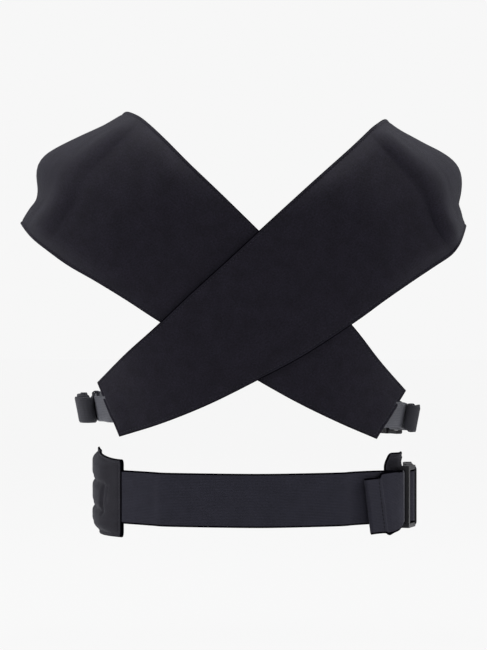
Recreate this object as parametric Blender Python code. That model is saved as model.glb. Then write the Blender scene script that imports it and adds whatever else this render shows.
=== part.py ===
"""Cross-back carrying harness with a waist belt, held in its worn shape.

Two broad padded straps run from the chest over the shoulders, cross on the back and end in 25 mm
webbing with side-release clips. Below them a waist belt has an elastic band, two padded wings and
a 50 mm buckle.

Frame: metres, +Z up, the wearer faces +Y, +X is the wearer's right. The origin is the centre of
the elastic band's inner face at the small of the back. All sizes below are in millimetres.
"""

import math

import bpy
from mathutils import Matrix, Vector

for old in list(bpy.data.objects):
    bpy.data.objects.remove(old, do_unlink=True)

MM = 0.001
UP = Vector((0, 0, 1))

# ---- driving dimensions --------------------------------------------------------------------------
SHELL_T = 1.2            # outer fabric
LINING_T = 1.0           # inner fabric
PLY_GAP = 0.3            # air between plies
OVER_LINING = LINING_T + PLY_GAP
MIN_PAD_T = 0.25         # thinnest foam, at its rim

BAND_W = 50.0            # elastic band, under load
TAIL_W = 58.0            # its free end, relaxed
BAND_T = 2.0
FOLD_T = 4.2             # the free end's last part, doubled
WEB_W = 25.0             # strap webbing
WEB_T = 1.5

# rear elevation points are carried to their depth along rays that meet at this point
VIEW_D = 2400.0
VIEW_X = -12.0
VIEW_Z = 167.0


# ---- materials -----------------------------------------------------------------------------------
def material(name, colour, roughness):
    mat = bpy.data.materials.new(name)
    mat.use_nodes = True
    shader = mat.node_tree.nodes["Principled BSDF"]
    shader.inputs["Base Color"].default_value = (*colour, 1.0)
    shader.inputs["Roughness"].default_value = roughness
    mat.diffuse_color = (*colour, 1.0)
    return mat


TWILL = material("strap_twill", colour=(0.012, 0.011, 0.015), roughness=0.85)
LINING = material("lining_mesh", colour=(0.014, 0.014, 0.017), roughness=0.9)
FOAM = material("foam", colour=(0.03, 0.03, 0.033), roughness=0.95)
WEBBING = material("webbing", colour=(0.05, 0.05, 0.06), roughness=0.6)
ELASTIC = material("elastic_band", colour=(0.022, 0.022, 0.03), roughness=0.8)
WING_CLOTH = material("wing_cloth", colour=(0.025, 0.024, 0.028), roughness=0.8)
PLASTIC = material("buckle_plastic", colour=(0.02, 0.02, 0.022), roughness=0.4)


# ---- small maths ---------------------------------------------------------------------------------
def ramp(t):
    """Smooth step from 0 at t = 0 to 1 at t = 1."""
    t = max(0.0, min(1.0, t))
    return t * t * (3 - 2 * t)


def lerp(a, b, t):
    return a + (b - a) * t


def catmull(values, t):
    """Value at t (0..len-1) of a Catmull-Rom curve through evenly spaced numbers or vectors."""
    n = len(values)
    i = min(int(math.floor(t)), n - 2)
    f = t - i
    p1, p2 = values[i], values[i + 1]
    p0 = values[i - 1] if i > 0 else p1 * 2 - p2
    p3 = values[i + 2] if i + 2 < n else p2 * 2 - p1
    return 0.5 * (
        p1 * 2
        + (p2 - p0) * f
        + (p0 * 2 - p1 * 5 + p2 * 4 - p3) * (f * f)
        + (p1 * 3 - p0 - p2 * 3 + p3) * (f * f * f)
    )


def carried(x, z, y):
    """A rear elevation point at depth y."""
    k = 1 + y / VIEW_D
    return Vector((VIEW_X + (x - VIEW_X) * k, y, VIEW_Z + (z - VIEW_Z) * k))


def frame_matrix(origin, along, width):
    """Local x runs along, local y across the webbing, local z is their cross product."""
    x = Vector(along).normalized()
    y = (Vector(width) - x * Vector(width).dot(x)).normalized()
    frame = Matrix((x, y, x.cross(y))).transposed().to_4x4()
    frame.translation = Vector(origin)
    return frame


def placed(place, profile, start=0.0):
    """Profile points (x, z) in the mid plane of a local frame, shifted by start along x."""
    return [place @ Vector((start + x, 0, z)) for x, z in profile]


# ---- mesh builders -------------------------------------------------------------------------------
SHARP_ANGLE = math.radians(40)


def add_object(name, verts, faces, mat, origin, smooth):
    """verts are millimetres in the world frame, and so is the object's origin."""
    origin = Vector(origin)
    mesh = bpy.data.meshes.new(name)
    mesh.from_pydata([tuple((p - origin) * MM) for p in verts], [], faces)
    mesh.update()
    obj = bpy.data.objects.new(name, mesh)
    bpy.context.scene.collection.objects.link(obj)
    obj.location = origin * MM
    mesh.materials.append(mat)
    if smooth:
        mesh.shade_smooth()
        mesh.set_sharp_from_angle(angle=SHARP_ANGLE)
    return obj


def closed_sheet(name, low, high, mat, origin=(0, 0, 0)):
    """A closed solid between two equal grids of points; high is the outer side."""
    rows, columns = len(low), len(low[0])
    verts = [p for row in high for p in row] + [p for row in low for p in row]

    def outer(i, j):
        return i * columns + j

    def inner(i, j):
        return rows * columns + outer(i, j)

    faces = []
    for i in range(rows - 1):
        for j in range(columns - 1):
            faces.append((outer(i, j), outer(i + 1, j), outer(i + 1, j + 1), outer(i, j + 1)))
            faces.append((inner(i, j), inner(i, j + 1), inner(i + 1, j + 1), inner(i + 1, j)))
    end = columns - 1
    for i in range(rows - 1):
        faces.append((outer(i, 0), inner(i, 0), inner(i + 1, 0), outer(i + 1, 0)))
        faces.append((outer(i, end), outer(i + 1, end), inner(i + 1, end), inner(i, end)))
    end = rows - 1
    for j in range(columns - 1):
        faces.append((outer(0, j), outer(0, j + 1), inner(0, j + 1), inner(0, j)))
        faces.append((outer(end, j), inner(end, j), inner(end, j + 1), outer(end, j + 1)))

    # a negative volume means that the faces look inwards
    volume = 0.0
    for a, b, c, d in faces:
        volume += verts[a].dot(verts[b].cross(verts[c]))
        volume += verts[a].dot(verts[c].cross(verts[d]))
    if volume < 0:
        faces = [tuple(reversed(face)) for face in faces]
    # triangles, so that the twisted quads of neighbouring plies are cut in a set way
    triangles = []
    for a, b, c, d in faces:
        triangles += [(a, b, c), (a, c, d)]
    return add_object(name, verts, triangles, mat, origin, smooth=True)


def tape(points, width, thick, across=UP):
    """Ribbon stations of one width, thickness and width direction."""
    return [(Vector(p), across, width / 2, thick) for p in points]


def ribbon(name, stations, mat, origin=(0, 0, 0), lead=()):
    """A flat tape through stations (point, width direction, half width, thickness).

    lead: ready-made (low, high) rows of points in front of the first station.
    """
    low, high = [row[0] for row in lead], [row[1] for row in lead]
    last = len(stations) - 1
    for i, (point, across, half, thick) in enumerate(stations):
        before = (point - stations[i - 1][0]).normalized() if i > 0 else None
        after = (stations[i + 1][0] - point).normalized() if i < last else None
        if before is None or after is None:
            tangent, stretch = after or before, 1.0
        else:
            tangent = (before + after).normalized()
            stretch = min(1.6, 1 / max(0.5, tangent.dot(before)))     # keeps bends full thickness
        across = across.normalized()
        across = (across - tangent * across.dot(tangent)).normalized()
        side = across * half
        rise = tangent.cross(across).normalized() * (thick / 2 * stretch)
        low.append([point - side - rise, point + side - rise])
        high.append([point - side + rise, point + side + rise])
    return closed_sheet(name, low, high, mat, origin)


def prism(name, outline, z0, z1, mat, place, origin=(0, 0, 0)):
    """A flat outline (x, y) extruded from z0 to z1 in a local frame, then placed."""
    n = len(outline)
    verts = [place @ Vector((x, y, z)) for z in (z0, z1) for x, y in outline]
    faces = [tuple(reversed(range(n))), tuple(range(n, 2 * n))]
    faces += [(i, (i + 1) % n, n + (i + 1) % n, n + i) for i in range(n)]
    following = outline[1:] + outline[:1]
    area = sum(x * next_y - next_x * y for (x, y), (next_x, next_y) in zip(outline, following))
    if (area < 0) != (place.to_3x3().determinant() < 0):
        faces = [tuple(reversed(face)) for face in faces]
    return add_object(name, verts, faces, mat, origin, smooth=False)


def box(x0, x1, y0, y1):
    return [(x0, y0), (x1, y0), (x1, y1), (x0, y1)]


def combine(obj, operation, name, outline, z0, z1, place):
    """Joins to obj, or cuts from it, a hidden helper prism."""
    helper = prism(name, outline, z0, z1, obj.data.materials[0], place)
    helper.hide_render = True
    helper.display_type = "WIRE"
    modifier = obj.modifiers.new(operation.title() + str(len(obj.modifiers)), "BOOLEAN")
    modifier.operation = operation
    modifier.object = helper
    modifier.solver = "EXACT"


# ---- the wearer's back, which the straps lie on --------------------------------------------------
BACK_Y = 95.0                    # depth of the wearer's side and of the shoulder line
BACK_BULGE = 24.0                # how far the shoulder blades stand behind the small of the back
BACK_HALF_WIDTHS = 158.0, 222.0  # at the waist and at the shoulders


def back_depth(x, z):
    """Depth of the back's surface, which curves forward at the sides and shoulders."""
    half = lerp(*BACK_HALF_WIDTHS, ramp((z - 95) / 165))
    depth = BACK_Y + BACK_BULGE * ramp(z / 200)
    side = abs(x / half) ** 3
    top = max(0.0, (z - 260.0) / 120.0) ** 2
    return BACK_Y - depth * math.sqrt(max(0.0, 1 - side - top))


# ---- strap layout --------------------------------------------------------------------------------
# Edges: rear elevation stations from the lower end up to the shoulder,
# (neck-side edge x, z), (arm-side edge x, z).
# Crest: the shoulder line where the strap turns over, in even steps from the neck-side edge to the
# arm-side edge, x, z in rear elevation.
# Chest: neck-side and arm-side edges, (x, y, z), with x and z in rear elevation and y the depth.
LEFT_EDGES = [
    ((141.5, 105.0), (114.2, 58.6)),
    ((117.5, 133.0), (77.7, 74.5)),
    ((92.0, 166.0), (39.7, 93.0)),
    ((60.0, 199.0), (1.7, 114.2)),
    ((31.0, 228.5), (-45.0, 142.0)),
    ((2.5, 257.0), (-91.5, 170.0)),
    ((-33.0, 291.5), (-124.5, 191.5)),
    ((-63.0, 320.0), (-153.0, 209.0)),
    ((-86.5, 343.5), (-178.0, 223.5)),
    ((-103.5, 359.0), (-198.2, 238.2)),
    ((-114.0, 366.0), (-213.0, 250.5)),
]
LEFT_CREST = [
    (-122.5, 367.8), (-146.0, 356.5), (-170.0, 346.0), (-193.0, 334.5), (-207.0, 323.5),
    (-205.8, 304.7), (-208.5, 289.0), (-217.0, 277.3), (-222.3, 262.0),
]
LEFT_CHEST = [
    ((-121.0, 128.0, 356.0), (-215.0, 124.0, 255.0)),
    ((-115.0, 158.0, 333.0), (-199.0, 152.0, 243.0)),
    ((-106.0, 178.0, 303.0), (-176.0, 172.0, 231.0)),
    ((-97.0, 188.0, 268.0), (-152.0, 186.0, 218.0)),
]
RIGHT_EDGES = [
    ((-149.9, 112.9), (-129.3, 60.8)),
    ((-123.3, 140.3), (-88.2, 74.0)),
    ((-95.5, 165.5), (-44.7, 91.6)),
    ((-64.0, 195.5), (0.8, 114.2)),
    ((-30.0, 226.5), (48.0, 139.5)),
    ((3.0, 257.0), (95.0, 170.5)),
    ((31.0, 282.5), (121.0, 189.5)),
    ((61.0, 309.5), (146.0, 207.0)),
    ((88.0, 333.5), (169.0, 222.5)),
    ((104.0, 348.5), (185.0, 233.5)),
    ((113.5, 357.0), (193.0, 244.5)),
]
RIGHT_CREST = [
    (121.5, 361.2), (141.0, 350.5), (162.0, 339.0), (181.0, 329.5), (193.4, 319.0),
    (194.4, 302.3), (191.8, 287.0), (196.8, 273.2), (197.8, 259.5),
]
RIGHT_CHEST = [
    ((120.0, 128.0, 350.0), (194.0, 124.0, 251.0)),
    ((114.0, 158.0, 329.0), (183.0, 152.0, 240.0)),
    ((106.0, 178.0, 300.0), (166.0, 172.0, 229.0)),
    ((97.0, 188.0, 266.0), (147.0, 186.0, 219.0)),
]
# A strap is named after its shoulder; its lower end is on the other side.
STRAPS = {
    "left": (LEFT_EDGES, LEFT_CREST, LEFT_CHEST),
    "right": (RIGHT_EDGES, RIGHT_CREST, RIGHT_CHEST),
}
CREST_AT = len(LEFT_EDGES)                    # station number of the shoulder line
LAST = CREST_AT + len(LEFT_CHEST)             # station number of the front end
CREST_INSET = 10.0                            # room for the foam and shell outside the inner face
# How much of the crest's bow each station takes; stations not listed take none.
CREST_SHARE = {8: 0.04, 9: 0.22, 10: 0.58, 11: 1.0, 12: 0.82, 13: 0.42, 14: 0.14}
CHEST_BULGE = 16.0                            # the strap's middle stands ahead of its edges

REST_LIFT = 0.6          # inner face above the back
CROSS_LIFT = 5.6         # the right strap's, where it crosses over the left one
CROSS_X, CROSS_Z = 2.0, 185.0
CROSS_R = 108.0          # full lift inside this radius,
CROSS_FADE = 70.0        # easing off over this distance
CROSS_Z_SCALE = 1.05

PAD_T = 7.0              # shoulder foam
WEB_POCKET = 2.6         # room for the webbing at the lower end
TAB_POCKET = 3.8         # room for the tab at the front end

# stations along the strap and shares of its width for the meshes
T_ALL = [
    0.0, 0.3, 0.6, 1.0, 1.6, 2.3, 3.0, 4.0, 5.0, 5.7, 6.3, 6.9, 7.5, 8.1, 8.6, 9.1, 9.6, 10.1,
    10.55, 11.0, 11.45, 11.9, 12.4, 13.0, 13.6, 14.2, 14.6, 14.85, 15.0,
]
V_ALL = [0.0, 0.06, 0.13, 0.27, 0.42, 0.58, 0.73, 0.87, 0.94, 1.0]
# the foam uses the same rows as the plies, so that nothing touches
T_PAD = [t for t in T_ALL if 6.2 < t < 14.5]
V_PAD = V_ALL[1:-1]


def strap_lift(side, x, z):
    """How far the strap's inner face stands off the back."""
    if side == "left":
        return REST_LIFT
    r = math.hypot(x - CROSS_X, (z - CROSS_Z) * CROSS_Z_SCALE)
    return lerp(CROSS_LIFT, REST_LIFT, ramp((r - CROSS_R) / CROSS_FADE))


def strap_row(side, k, v):
    """Inner face at whole station k and share v of the width, from the neck-side edge."""
    edges, crest, chest = STRAPS[side]
    start = Vector(crest[0])
    chord = Vector(crest[-1]) - start
    on_chord = start + chord * v
    bow = catmull([Vector(p) for p in crest], v * (len(crest) - 1)) - on_chord
    outward = Vector((chord.y, -chord.x)).normalized() * (1 if side == "left" else -1)
    bow -= outward * CREST_INSET * ramp(min(v, 1 - v) / 0.15)
    if k == CREST_AT:
        p = on_chord + bow
        return carried(p.x, p.y, BACK_Y)
    bow *= CREST_SHARE.get(k, 0.0)
    if k < CREST_AT:
        neck, arm = (Vector(q) for q in edges[k])
        p = neck + (arm - neck) * v + bow
        return carried(p.x, p.y, back_depth(p.x, p.y) - strap_lift(side, p.x, p.y))
    neck, arm = (Vector(q) for q in chest[k - CREST_AT - 1])
    p = neck + (arm - neck) * v
    ahead = 4 * v * (1 - v) * CHEST_BULGE * ramp((15.5 - k) / 3.5)
    return carried(p.x + bow.x, p.z + bow.y, p.y + ahead)


def strap_point(side, t, v):
    """Inner face at station t, any number from 0 (lower end) to LAST (front end)."""
    i = min(int(math.floor(t)), LAST - 1)
    p1, p2 = strap_row(side, i, v), strap_row(side, i + 1, v)
    p0 = strap_row(side, i - 1, v) if i > 0 else p1 * 2 - p2
    p3 = strap_row(side, i + 2, v) if i + 2 <= LAST else p2 * 2 - p1
    return catmull([p0, p1, p2, p3], 1 + t - i)


def strap_normal(side, t, v):
    """Away from the wearer."""
    t0, t1 = max(0.0, t - 0.05), min(float(LAST), t + 0.05)
    v0, v1 = max(0.0, v - 0.02), min(1.0, v + 0.02)
    along = strap_point(side, t1, v) - strap_point(side, t0, v)
    wide = strap_point(side, t, v1) - strap_point(side, t, v0)
    normal = along.cross(wide).normalized()
    return normal if side == "left" else -normal


def raised(side, t, v, height):
    return strap_point(side, t, v) + strap_normal(side, t, v) * height


def shell_base(t, v):
    """Height of the shell's inner side above the lining's inner side."""
    pocket = (WEB_POCKET * ramp((0.55 - t) / 0.3)
              + TAB_POCKET * ramp((t - (LAST - 0.5)) / 0.25))
    # share of the full foam: all over the shoulder, none from the crossing down
    pad = ramp((t - 5.9) / 1.3) * ramp((LAST - 0.25 - t) / 0.9) * ramp(min(v, 1 - v) / 0.13)
    return OVER_LINING + pocket + (PAD_T * pad + PLY_GAP * ramp(pad / 0.15))


def strap_ply(side, part, low, high, mat, ts=T_ALL, vs=V_ALL):
    """One layer of a strap between two heights, each a function of t and v."""
    grids = [[[raised(side, t, v, height(t, v)) for v in vs] for t in ts] for height in (low, high)]
    closed_sheet(f"{side}_strap_{part}", *grids, mat)


def make_strap(side):
    strap_ply(side, "shell", shell_base, lambda t, v: shell_base(t, v) + SHELL_T, TWILL)
    strap_ply(side, "lining", lambda t, v: 0.0, lambda t, v: LINING_T, LINING)
    strap_ply(side, "pad", lambda t, v: OVER_LINING,
              lambda t, v: max(OVER_LINING + MIN_PAD_T, shell_base(t, v) - PLY_GAP),
              FOAM, T_PAD, V_PAD)


TAB_HALF_W = 22.0
TAB_ROWS = -2.5, 1.5, 16.0       # along the strap from its front end
TAB_HALF_T = 0.75
TAB_LIFT = 1.9                   # its mid plane above the top of the lining's gap


def make_front_tab(side):
    """Stiff tab between the plies at the front end, which the front panel's corner is sewn to."""
    wide = (strap_point(side, LAST, 0.9) - strap_point(side, LAST, 0.1)).normalized()
    down = (strap_point(side, LAST, 0.5) - strap_point(side, LAST - 0.6, 0.5)).normalized()
    down = down - wide * down.dot(wide)
    place = frame_matrix(raised(side, LAST, 0.5, OVER_LINING + TAB_LIFT), down, wide)
    low, high = (
        [[place @ Vector((x, y, z)) for y in (-TAB_HALF_W, TAB_HALF_W)] for x in TAB_ROWS]
        for z in (-TAB_HALF_T, TAB_HALF_T)
    )
    closed_sheet(side + "_front_tab", low, high, WEBBING).data.shade_flat()


for side in STRAPS:
    make_strap(side)
    make_front_tab(side)

# ---- buckles -------------------------------------------------------------------------------------
# Lengths along the 50 mm buckle; Buckle.along scales them from the deck's front edge.
DECK_FRONT = 13.0
TONGUE_END = 44.0
WINDOW = 27.0, 46.5
CAVITY_END = 48.8
WALL = 51.3
# Widths of the 50 mm buckle, on an outside half width of TABLE_HALF_W.
TABLE_HALF_W = 31.0
MOUTH_HALF_W = 25.0
TONGUE_HALF_W = 6.0
PRONG_PIVOT_Y = 19.2
# Prong outline x, y; the points at PRONG_ROOT stand just clear of the deck.
PRONG_ROOT = 13.5
PRONG = [
    (14.9, 16.6), (24.0, 18.5), (30.0, 20.6), (36.0, 22.0), (44.3, 20.5), (45.0, 23.4),
    (41.0, 28.4), (36.0, 31.3), (31.0, 30.7), (28.0, 27.6), (27.7, 24.4), (26.0, 24.2),
    (14.9, 22.0), (13.5, 20.2), (13.5, 18.2),
]
BAR_CLEARANCE = 0.4              # between a bar and the webbing round it
BAR_OVERLAP = 0.8                # how far bars run into the rails
EDGE_ROUNDING = 5.6 / 6.2        # edge radius over half thickness
ARC_DEGREES = 0, 18, 36, 54, 72, 90


class Buckle:
    """Sizes of a side-release buckle.

    x runs from the ladder end towards the socket, y across, z away from the wearer; the origin
    is the main bar.
    """

    def __init__(self, scale, slot_half, half_w, half_t, bar_r, web_t, rear_bar):
        self.scale = scale
        self.slot_half = slot_half               # half width of the webbing slots
        self.half_w = half_w
        self.half_t = half_t
        self.bar_r = bar_r
        self.web_t = web_t
        self.rear0, self.rear1 = rear_bar        # the ladder's rear bar, along x
        self.run_r = bar_r + BAR_CLEARANCE + web_t / 2     # mid line of webbing round a bar
        self.tail_z = -self.run_r + web_t + 0.35           # webbing's way out, above the way in
        self.deck0 = bar_r + BAR_CLEARANCE + web_t + 1.2
        self.deck1 = self.deck0 + 6.5 * scale
        self.width_scale = half_w / TABLE_HALF_W
        self.cavity_z = half_t - 2.4 * (0.7 + 0.3 * scale)
        self.wall = self.along(WALL)
        self.end_bar = self.wall + self.run_r + web_t / 2 + 0.6

    def along(self, length):
        return self.deck1 + (length - DECK_FRONT) * self.scale


BELT = Buckle(scale=1.0, slot_half=26.0, half_w=30.4, half_t=5.4, bar_r=2.2, web_t=BAND_T,
              rear_bar=(-19.0, -14.5))
CLIP = Buckle(scale=0.62, slot_half=13.2, half_w=16.6, half_t=4.4, bar_r=1.7, web_t=WEB_T,
              rear_bar=(-13.2, -9.9))


def bent(size, place, degrees):
    """The ladder end's frame, turned towards the wearer about the deck's rear edge."""
    turn = Matrix.Rotation(math.radians(-degrees), 4, "Y")
    hinge = Vector((size.deck0, 0, 0))
    return place @ Matrix.Translation(hinge) @ turn @ Matrix.Translation(-hinge)


def add_bar(obj, name, size, x, place):
    angles = [i * math.pi / 6 for i in range(12)]
    outline = [(x + size.bar_r * math.cos(a), size.bar_r * math.sin(a)) for a in angles]
    reach = size.slot_half + BAR_OVERLAP
    across = place @ Matrix.Rotation(math.radians(90), 4, "X")
    combine(obj, "UNION", name + "_bar", outline, -reach, reach, across)


def round_edges(obj, name, size, place, x0, x1):
    """Cuts both long outer edges to a rounded section."""
    r = EDGE_ROUNDING * size.half_t
    half_w, half_t = size.half_w, size.half_t
    # outline in y, z; extruded along x
    turned = place @ Matrix(((0, 0, 1, 0), (1, 0, 0, 0), (0, 1, 0, 0), (0, 0, 0, 1)))
    arc = [(half_w - r * (1 - math.sin(a)), half_t - r * (1 - math.cos(a)))
           for a in map(math.radians, ARC_DEGREES)]
    outline = [(half_w - r, half_t + 0.5)] + arc
    outline += [(half_w + 0.5, half_t - r), (half_w + 0.5, half_t + 0.5)]
    for sign in (-1, 1):
        mirrored = [(sign * y, z) for y, z in outline]
        combine(obj, "DIFFERENCE", f"{name}_edge{sign}", mirrored, x0, x1, turned)


def make_plug(name, size, place, bend=0.0):
    """Deck with the ladder's rails and bars behind it and the tongue ahead."""
    ladder = bent(size, place, bend)
    half_w, half_t = size.half_w, size.half_t
    deck = prism(name, box(size.deck0, size.deck1, -half_w, half_w), -half_t, half_t,
                 PLASTIC, place)
    for sign in (-1, 1):
        y0, y1 = sorted((sign * size.slot_half, sign * (half_w - 0.3)))
        combine(deck, "UNION", f"{name}_rail{sign}", box(size.rear0, size.deck0 + 1.0, y0, y1),
                -half_t * 0.72, half_t * 0.76, ladder)
    reach = size.slot_half + BAR_OVERLAP
    combine(deck, "UNION", name + "_rear", box(size.rear0 + 0.2, size.rear1, -reach, reach),
            size.tail_z + size.web_t / 2 + 0.35, half_t * 0.74, ladder)
    add_bar(deck, name, size, 0.0, ladder)
    tongue = TONGUE_HALF_W * size.width_scale
    combine(deck, "UNION", name + "_tongue",
            box(size.deck1 - 1.0, size.along(TONGUE_END), -tongue, tongue),
            -size.cavity_z + 0.9, size.cavity_z - 0.9, place)
    rear = size.deck0 - 0.5 if bend else size.rear0 - 1.0
    round_edges(deck, name, size, place, rear, size.deck1 + 0.5)


def make_prong(name, size, place, sign):
    """Springy side arm of the plug; its origin is its root. sign: which side in local y."""
    outline = [
        (size.along(x) if x > PRONG_ROOT else size.deck1 + 0.4, sign * y * size.width_scale)
        for x, y in PRONG
    ]
    root = place @ Vector((size.deck1 + 0.6, sign * PRONG_PIVOT_Y * size.width_scale, 0))
    prism(name, outline[::sign], -size.cavity_z + 0.6, size.cavity_z - 0.6, PLASTIC, place, root)


def make_socket(name, size, place):
    """Hollow body with windows at both sides, and ears that carry the end bar."""
    mouth = size.deck1 + 1.0
    half_w, half_t, cavity_z = size.half_w, size.half_t, size.cavity_z
    body = prism(name, box(mouth, size.wall, -half_w, half_w), -half_t, half_t, PLASTIC, place)
    ear_z = size.bar_r + 1.2
    for sign in (-1, 1):
        y0, y1 = sorted((sign * (size.slot_half + 0.2), sign * (half_w - 0.2)))
        combine(body, "UNION", f"{name}_ear{sign}",
                box(size.wall - 1.0, size.end_bar + size.bar_r + 1.0, y0, y1),
                -ear_z, ear_z, place)
    add_bar(body, name, size, size.end_bar, place)
    round_edges(body, name, size, place, mouth - 0.5, size.wall + 0.5)
    mouth_y = MOUTH_HALF_W * size.width_scale
    combine(body, "DIFFERENCE", name + "_cavity",
            box(mouth - 2.0, size.along(CAVITY_END), -mouth_y, mouth_y),
            -cavity_z, cavity_z, place)
    window0, window1 = (size.along(x) for x in WINDOW)
    combine(body, "DIFFERENCE", name + "_window",
            box(window0, window1, -half_w - 3, half_w + 3),
            -cavity_z + 0.01, cavity_z - 0.01, place)


def make_buckle(name, size, place, top=1, bend=0.0):
    """Plug, socket and both prongs. top: the sign of local y that points up."""
    make_plug(name + "_plug", size, place, bend)
    make_socket(name + "_socket", size, place)
    make_prong(name + "_prong_top", size, place, top)
    make_prong(name + "_prong_bottom", size, place, -top)


def ladder_run(size, place):
    """Webbing through the ladder: in on the wearer's side, round the main bar, out under the rear bar."""
    r, rear, tail_z = size.run_r, size.rear0, size.tail_z
    k = r / BELT.run_r
    profile = [(rear - 3 * k, -r), (rear * 0.55, -r), (0.0, -r)]
    turns = [math.radians(a) for a in (-60, -30, 0, 30, 60, 90)]
    profile += [(r * math.cos(a), r * math.sin(a)) for a in turns]
    profile += [(-2.6 * k, 3.2 * k), (-6.2 * k, 1.0 * k), (-9.2 * k, tail_z + 0.35)]
    profile += [(-11.5 * k, tail_z), (rear - 2 * k, tail_z)]
    return placed(place, profile)


def end_bar_turn(size):
    """Webbing round the far side of the end bar, x from the bar."""
    turns = [math.radians(a) for a in (30, 60, 90, 120, 150, 180)]
    return [(-size.run_r * math.sin(a), -size.run_r * math.cos(a)) for a in turns]


# ---- waist ---------------------------------------------------------------------------------------
# The plan of the waist is a superellipse.
WAIST_XC = -6.5
WAIST_A_RIGHT = 142.5
WAIST_A_LEFT = 145.8
WAIST_B = 110.0
WAIST_B_FRONT = 230.0    # the left wing runs on nearly straight,
FRONT_SPREAD = 0.12      # a little outwards
WAIST_N = 2.6


def signed_power(value, power):
    return math.copysign(abs(value) ** power, value)


def waist(phi, off, z):
    """Point at angle phi (degrees, 0 at the spine, +90 the wearer's right), off outwards."""
    a = WAIST_A_RIGHT if phi > 0 else WAIST_A_LEFT
    b = WAIST_B if phi > -90 else WAIST_B_FRONT
    x = signed_power(math.sin(math.radians(phi)), 2 / WAIST_N)
    y = -signed_power(math.cos(math.radians(phi)), 2 / WAIST_N)
    normal = Vector((signed_power(x, WAIST_N - 1) / a, signed_power(y, WAIST_N - 1) / b, 0))
    normal.normalize()
    spread = FRONT_SPREAD * max(0.0, b * y) if phi < -90 else 0.0
    return Vector((WAIST_XC + a * x - spread, WAIST_B + b * y, z)) + normal * off


# ---- elastic band and belt buckle ----------------------------------------------------------------
BELT_PLACE = frame_matrix((152.3, 70.0, 0.0), along=(0, 1, 0), width=UP)
LADDER_BEND = 18.0
# Band's mid line round the waist: angle, distance off the waist, height.
BAND_LEFT = [
    (-55.3, 2.3, 1.6), (-53.3, 2.3, 1.6), (-50.4, 2.3, 1.6), (-45.5, 1.7, 1.5),
    (-40.0, 1.0, 1.3), (-33.0, 1.0, 0.9), (-25.0, 1.0, 0.4),
]
BAND_RIGHT = [
    (30.0, 1.0, 0.5), (38.0, 1.2, 1.0), (46.0, 3.0, 1.3), (51.0, 5.2, 1.3), (58.0, 8.6, 1.1),
]
BAND_SPINE_X = -22.5, -20.0, 20.0, 22.5                      # straight part at the spine
BAND_TO_LADDER = [(131.0, 40.4, 0.7), (136.7, 45.6, 0.3)]
# Free end: point, share of the change to its relaxed width and lean.
TAIL_OUT = [
    ((140.3, 44.6, -1.2), 0.35), ((135.3, 38.4, -2.6), 0.8), ((129.0, 32.7, -3.9), 1.0),
]
# Last part of the free end: point, thickness, half width.
TAIL_END = [
    ((123.5, 28.8, -4.9), BAND_T, TAIL_W / 2), ((122.0, 27.7, -5.5), FOLD_T, 27.4),
    ((114.0, 22.2, -6.3), FOLD_T, 26.2), ((107.0, 17.2, -6.8), FOLD_T, 26.2),
]
TAIL_LEAN = Vector((-0.118, 0.0, 0.993))


def make_belt_band():
    points = [waist(*row) for row in BAND_LEFT]
    points += [(x, -BAND_T / 2, 0) for x in BAND_SPINE_X]
    points += [waist(*row) for row in BAND_RIGHT]
    points += BAND_TO_LADDER
    points += ladder_run(BELT, bent(BELT, BELT_PLACE, LADDER_BEND))
    stations = tape(points, BAND_W, BAND_T)
    for point, share in TAIL_OUT:
        width = lerp(BAND_W, TAIL_W, share)
        stations += tape([point], width, BAND_T, UP.lerp(TAIL_LEAN, share))
    stations += [(Vector(point), TAIL_LEAN, half, thick) for point, thick, half in TAIL_END]
    ribbon("belt_band", stations, ELASTIC)


make_belt_band()
make_buckle("belt", BELT, BELT_PLACE, bend=LADDER_BEND)

# ---- wings: cover, foam and lining, round the waist ----------------------------------------------
WING_PAD_T = 5.6
WING_HALF_H = 37.6       # of the left wing's rear end
WING_FLARE = 6.4         # the right wing's upper rim leans outwards over the buckle's edge
U_WING = [0.0, 0.06, 0.12, 0.17, 0.23, 0.3, 0.4, 0.5, 0.6, 0.7, 0.8, 0.86, 0.92, 0.96, 1.0]
# angles: rear and front. top, bottom: heights at rear and front. top_from: u where the top starts
# to change. reach: how far the rear corners are tucked, degrees. corner: their height.
# foam_from: u where the foam starts to rise. pad_from: u that its mesh starts after.
# band_room: height left for the band at the rear. vs: shares of the height for the mesh.
WINGS = {
    "left": dict(
        angles=(-51.0, -98.0), top=(WING_HALF_H, 44.0), bottom=(-WING_HALF_H, -38.5),
        top_from=0.0, reach=-1.4, corner=6.0, foam_from=0.16, pad_from=0.2, band_room=2.3,
        vs=[0.0, 0.06, 0.13, 0.3, 0.5, 0.7, 0.87, 0.94, 1.0],
    ),
    "right": dict(
        angles=(62.5, 106.0), top=(42.6, 26.0), bottom=(-38.0, -35.0),
        top_from=0.5, reach=8.5, corner=11.0, foam_from=0.06, pad_from=0.1, band_room=0.0,
        vs=[0.0, 0.06, 0.13, 0.3, 0.5, 0.7, 0.83, 0.87, 0.9, 0.94, 0.97, 1.0],
    ),
}


def wing_z(wing, u, v):
    """Height at u (0 rear to 1 front) and v (0 bottom to 1 top)."""
    top_from = wing["top_from"]
    top = lerp(*wing["top"], ramp((u - top_from) / (1 - top_from)))
    return lerp(lerp(*wing["bottom"], ramp(u)), top, v)


def wing_phi(wing, u, v):
    """Angle at u: the rear end is rounded at the top and bottom."""
    rear, front = wing["angles"]
    from_edge = min(v, 1 - v) * (wing["top"][0] - wing["bottom"][0])
    into_corner = max(0.0, wing["corner"] - from_edge) / wing["corner"]
    rear += wing["reach"] * (1 - math.sqrt(max(0.0, 1 - into_corner ** 2)))
    return lerp(rear, front, u)


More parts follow.
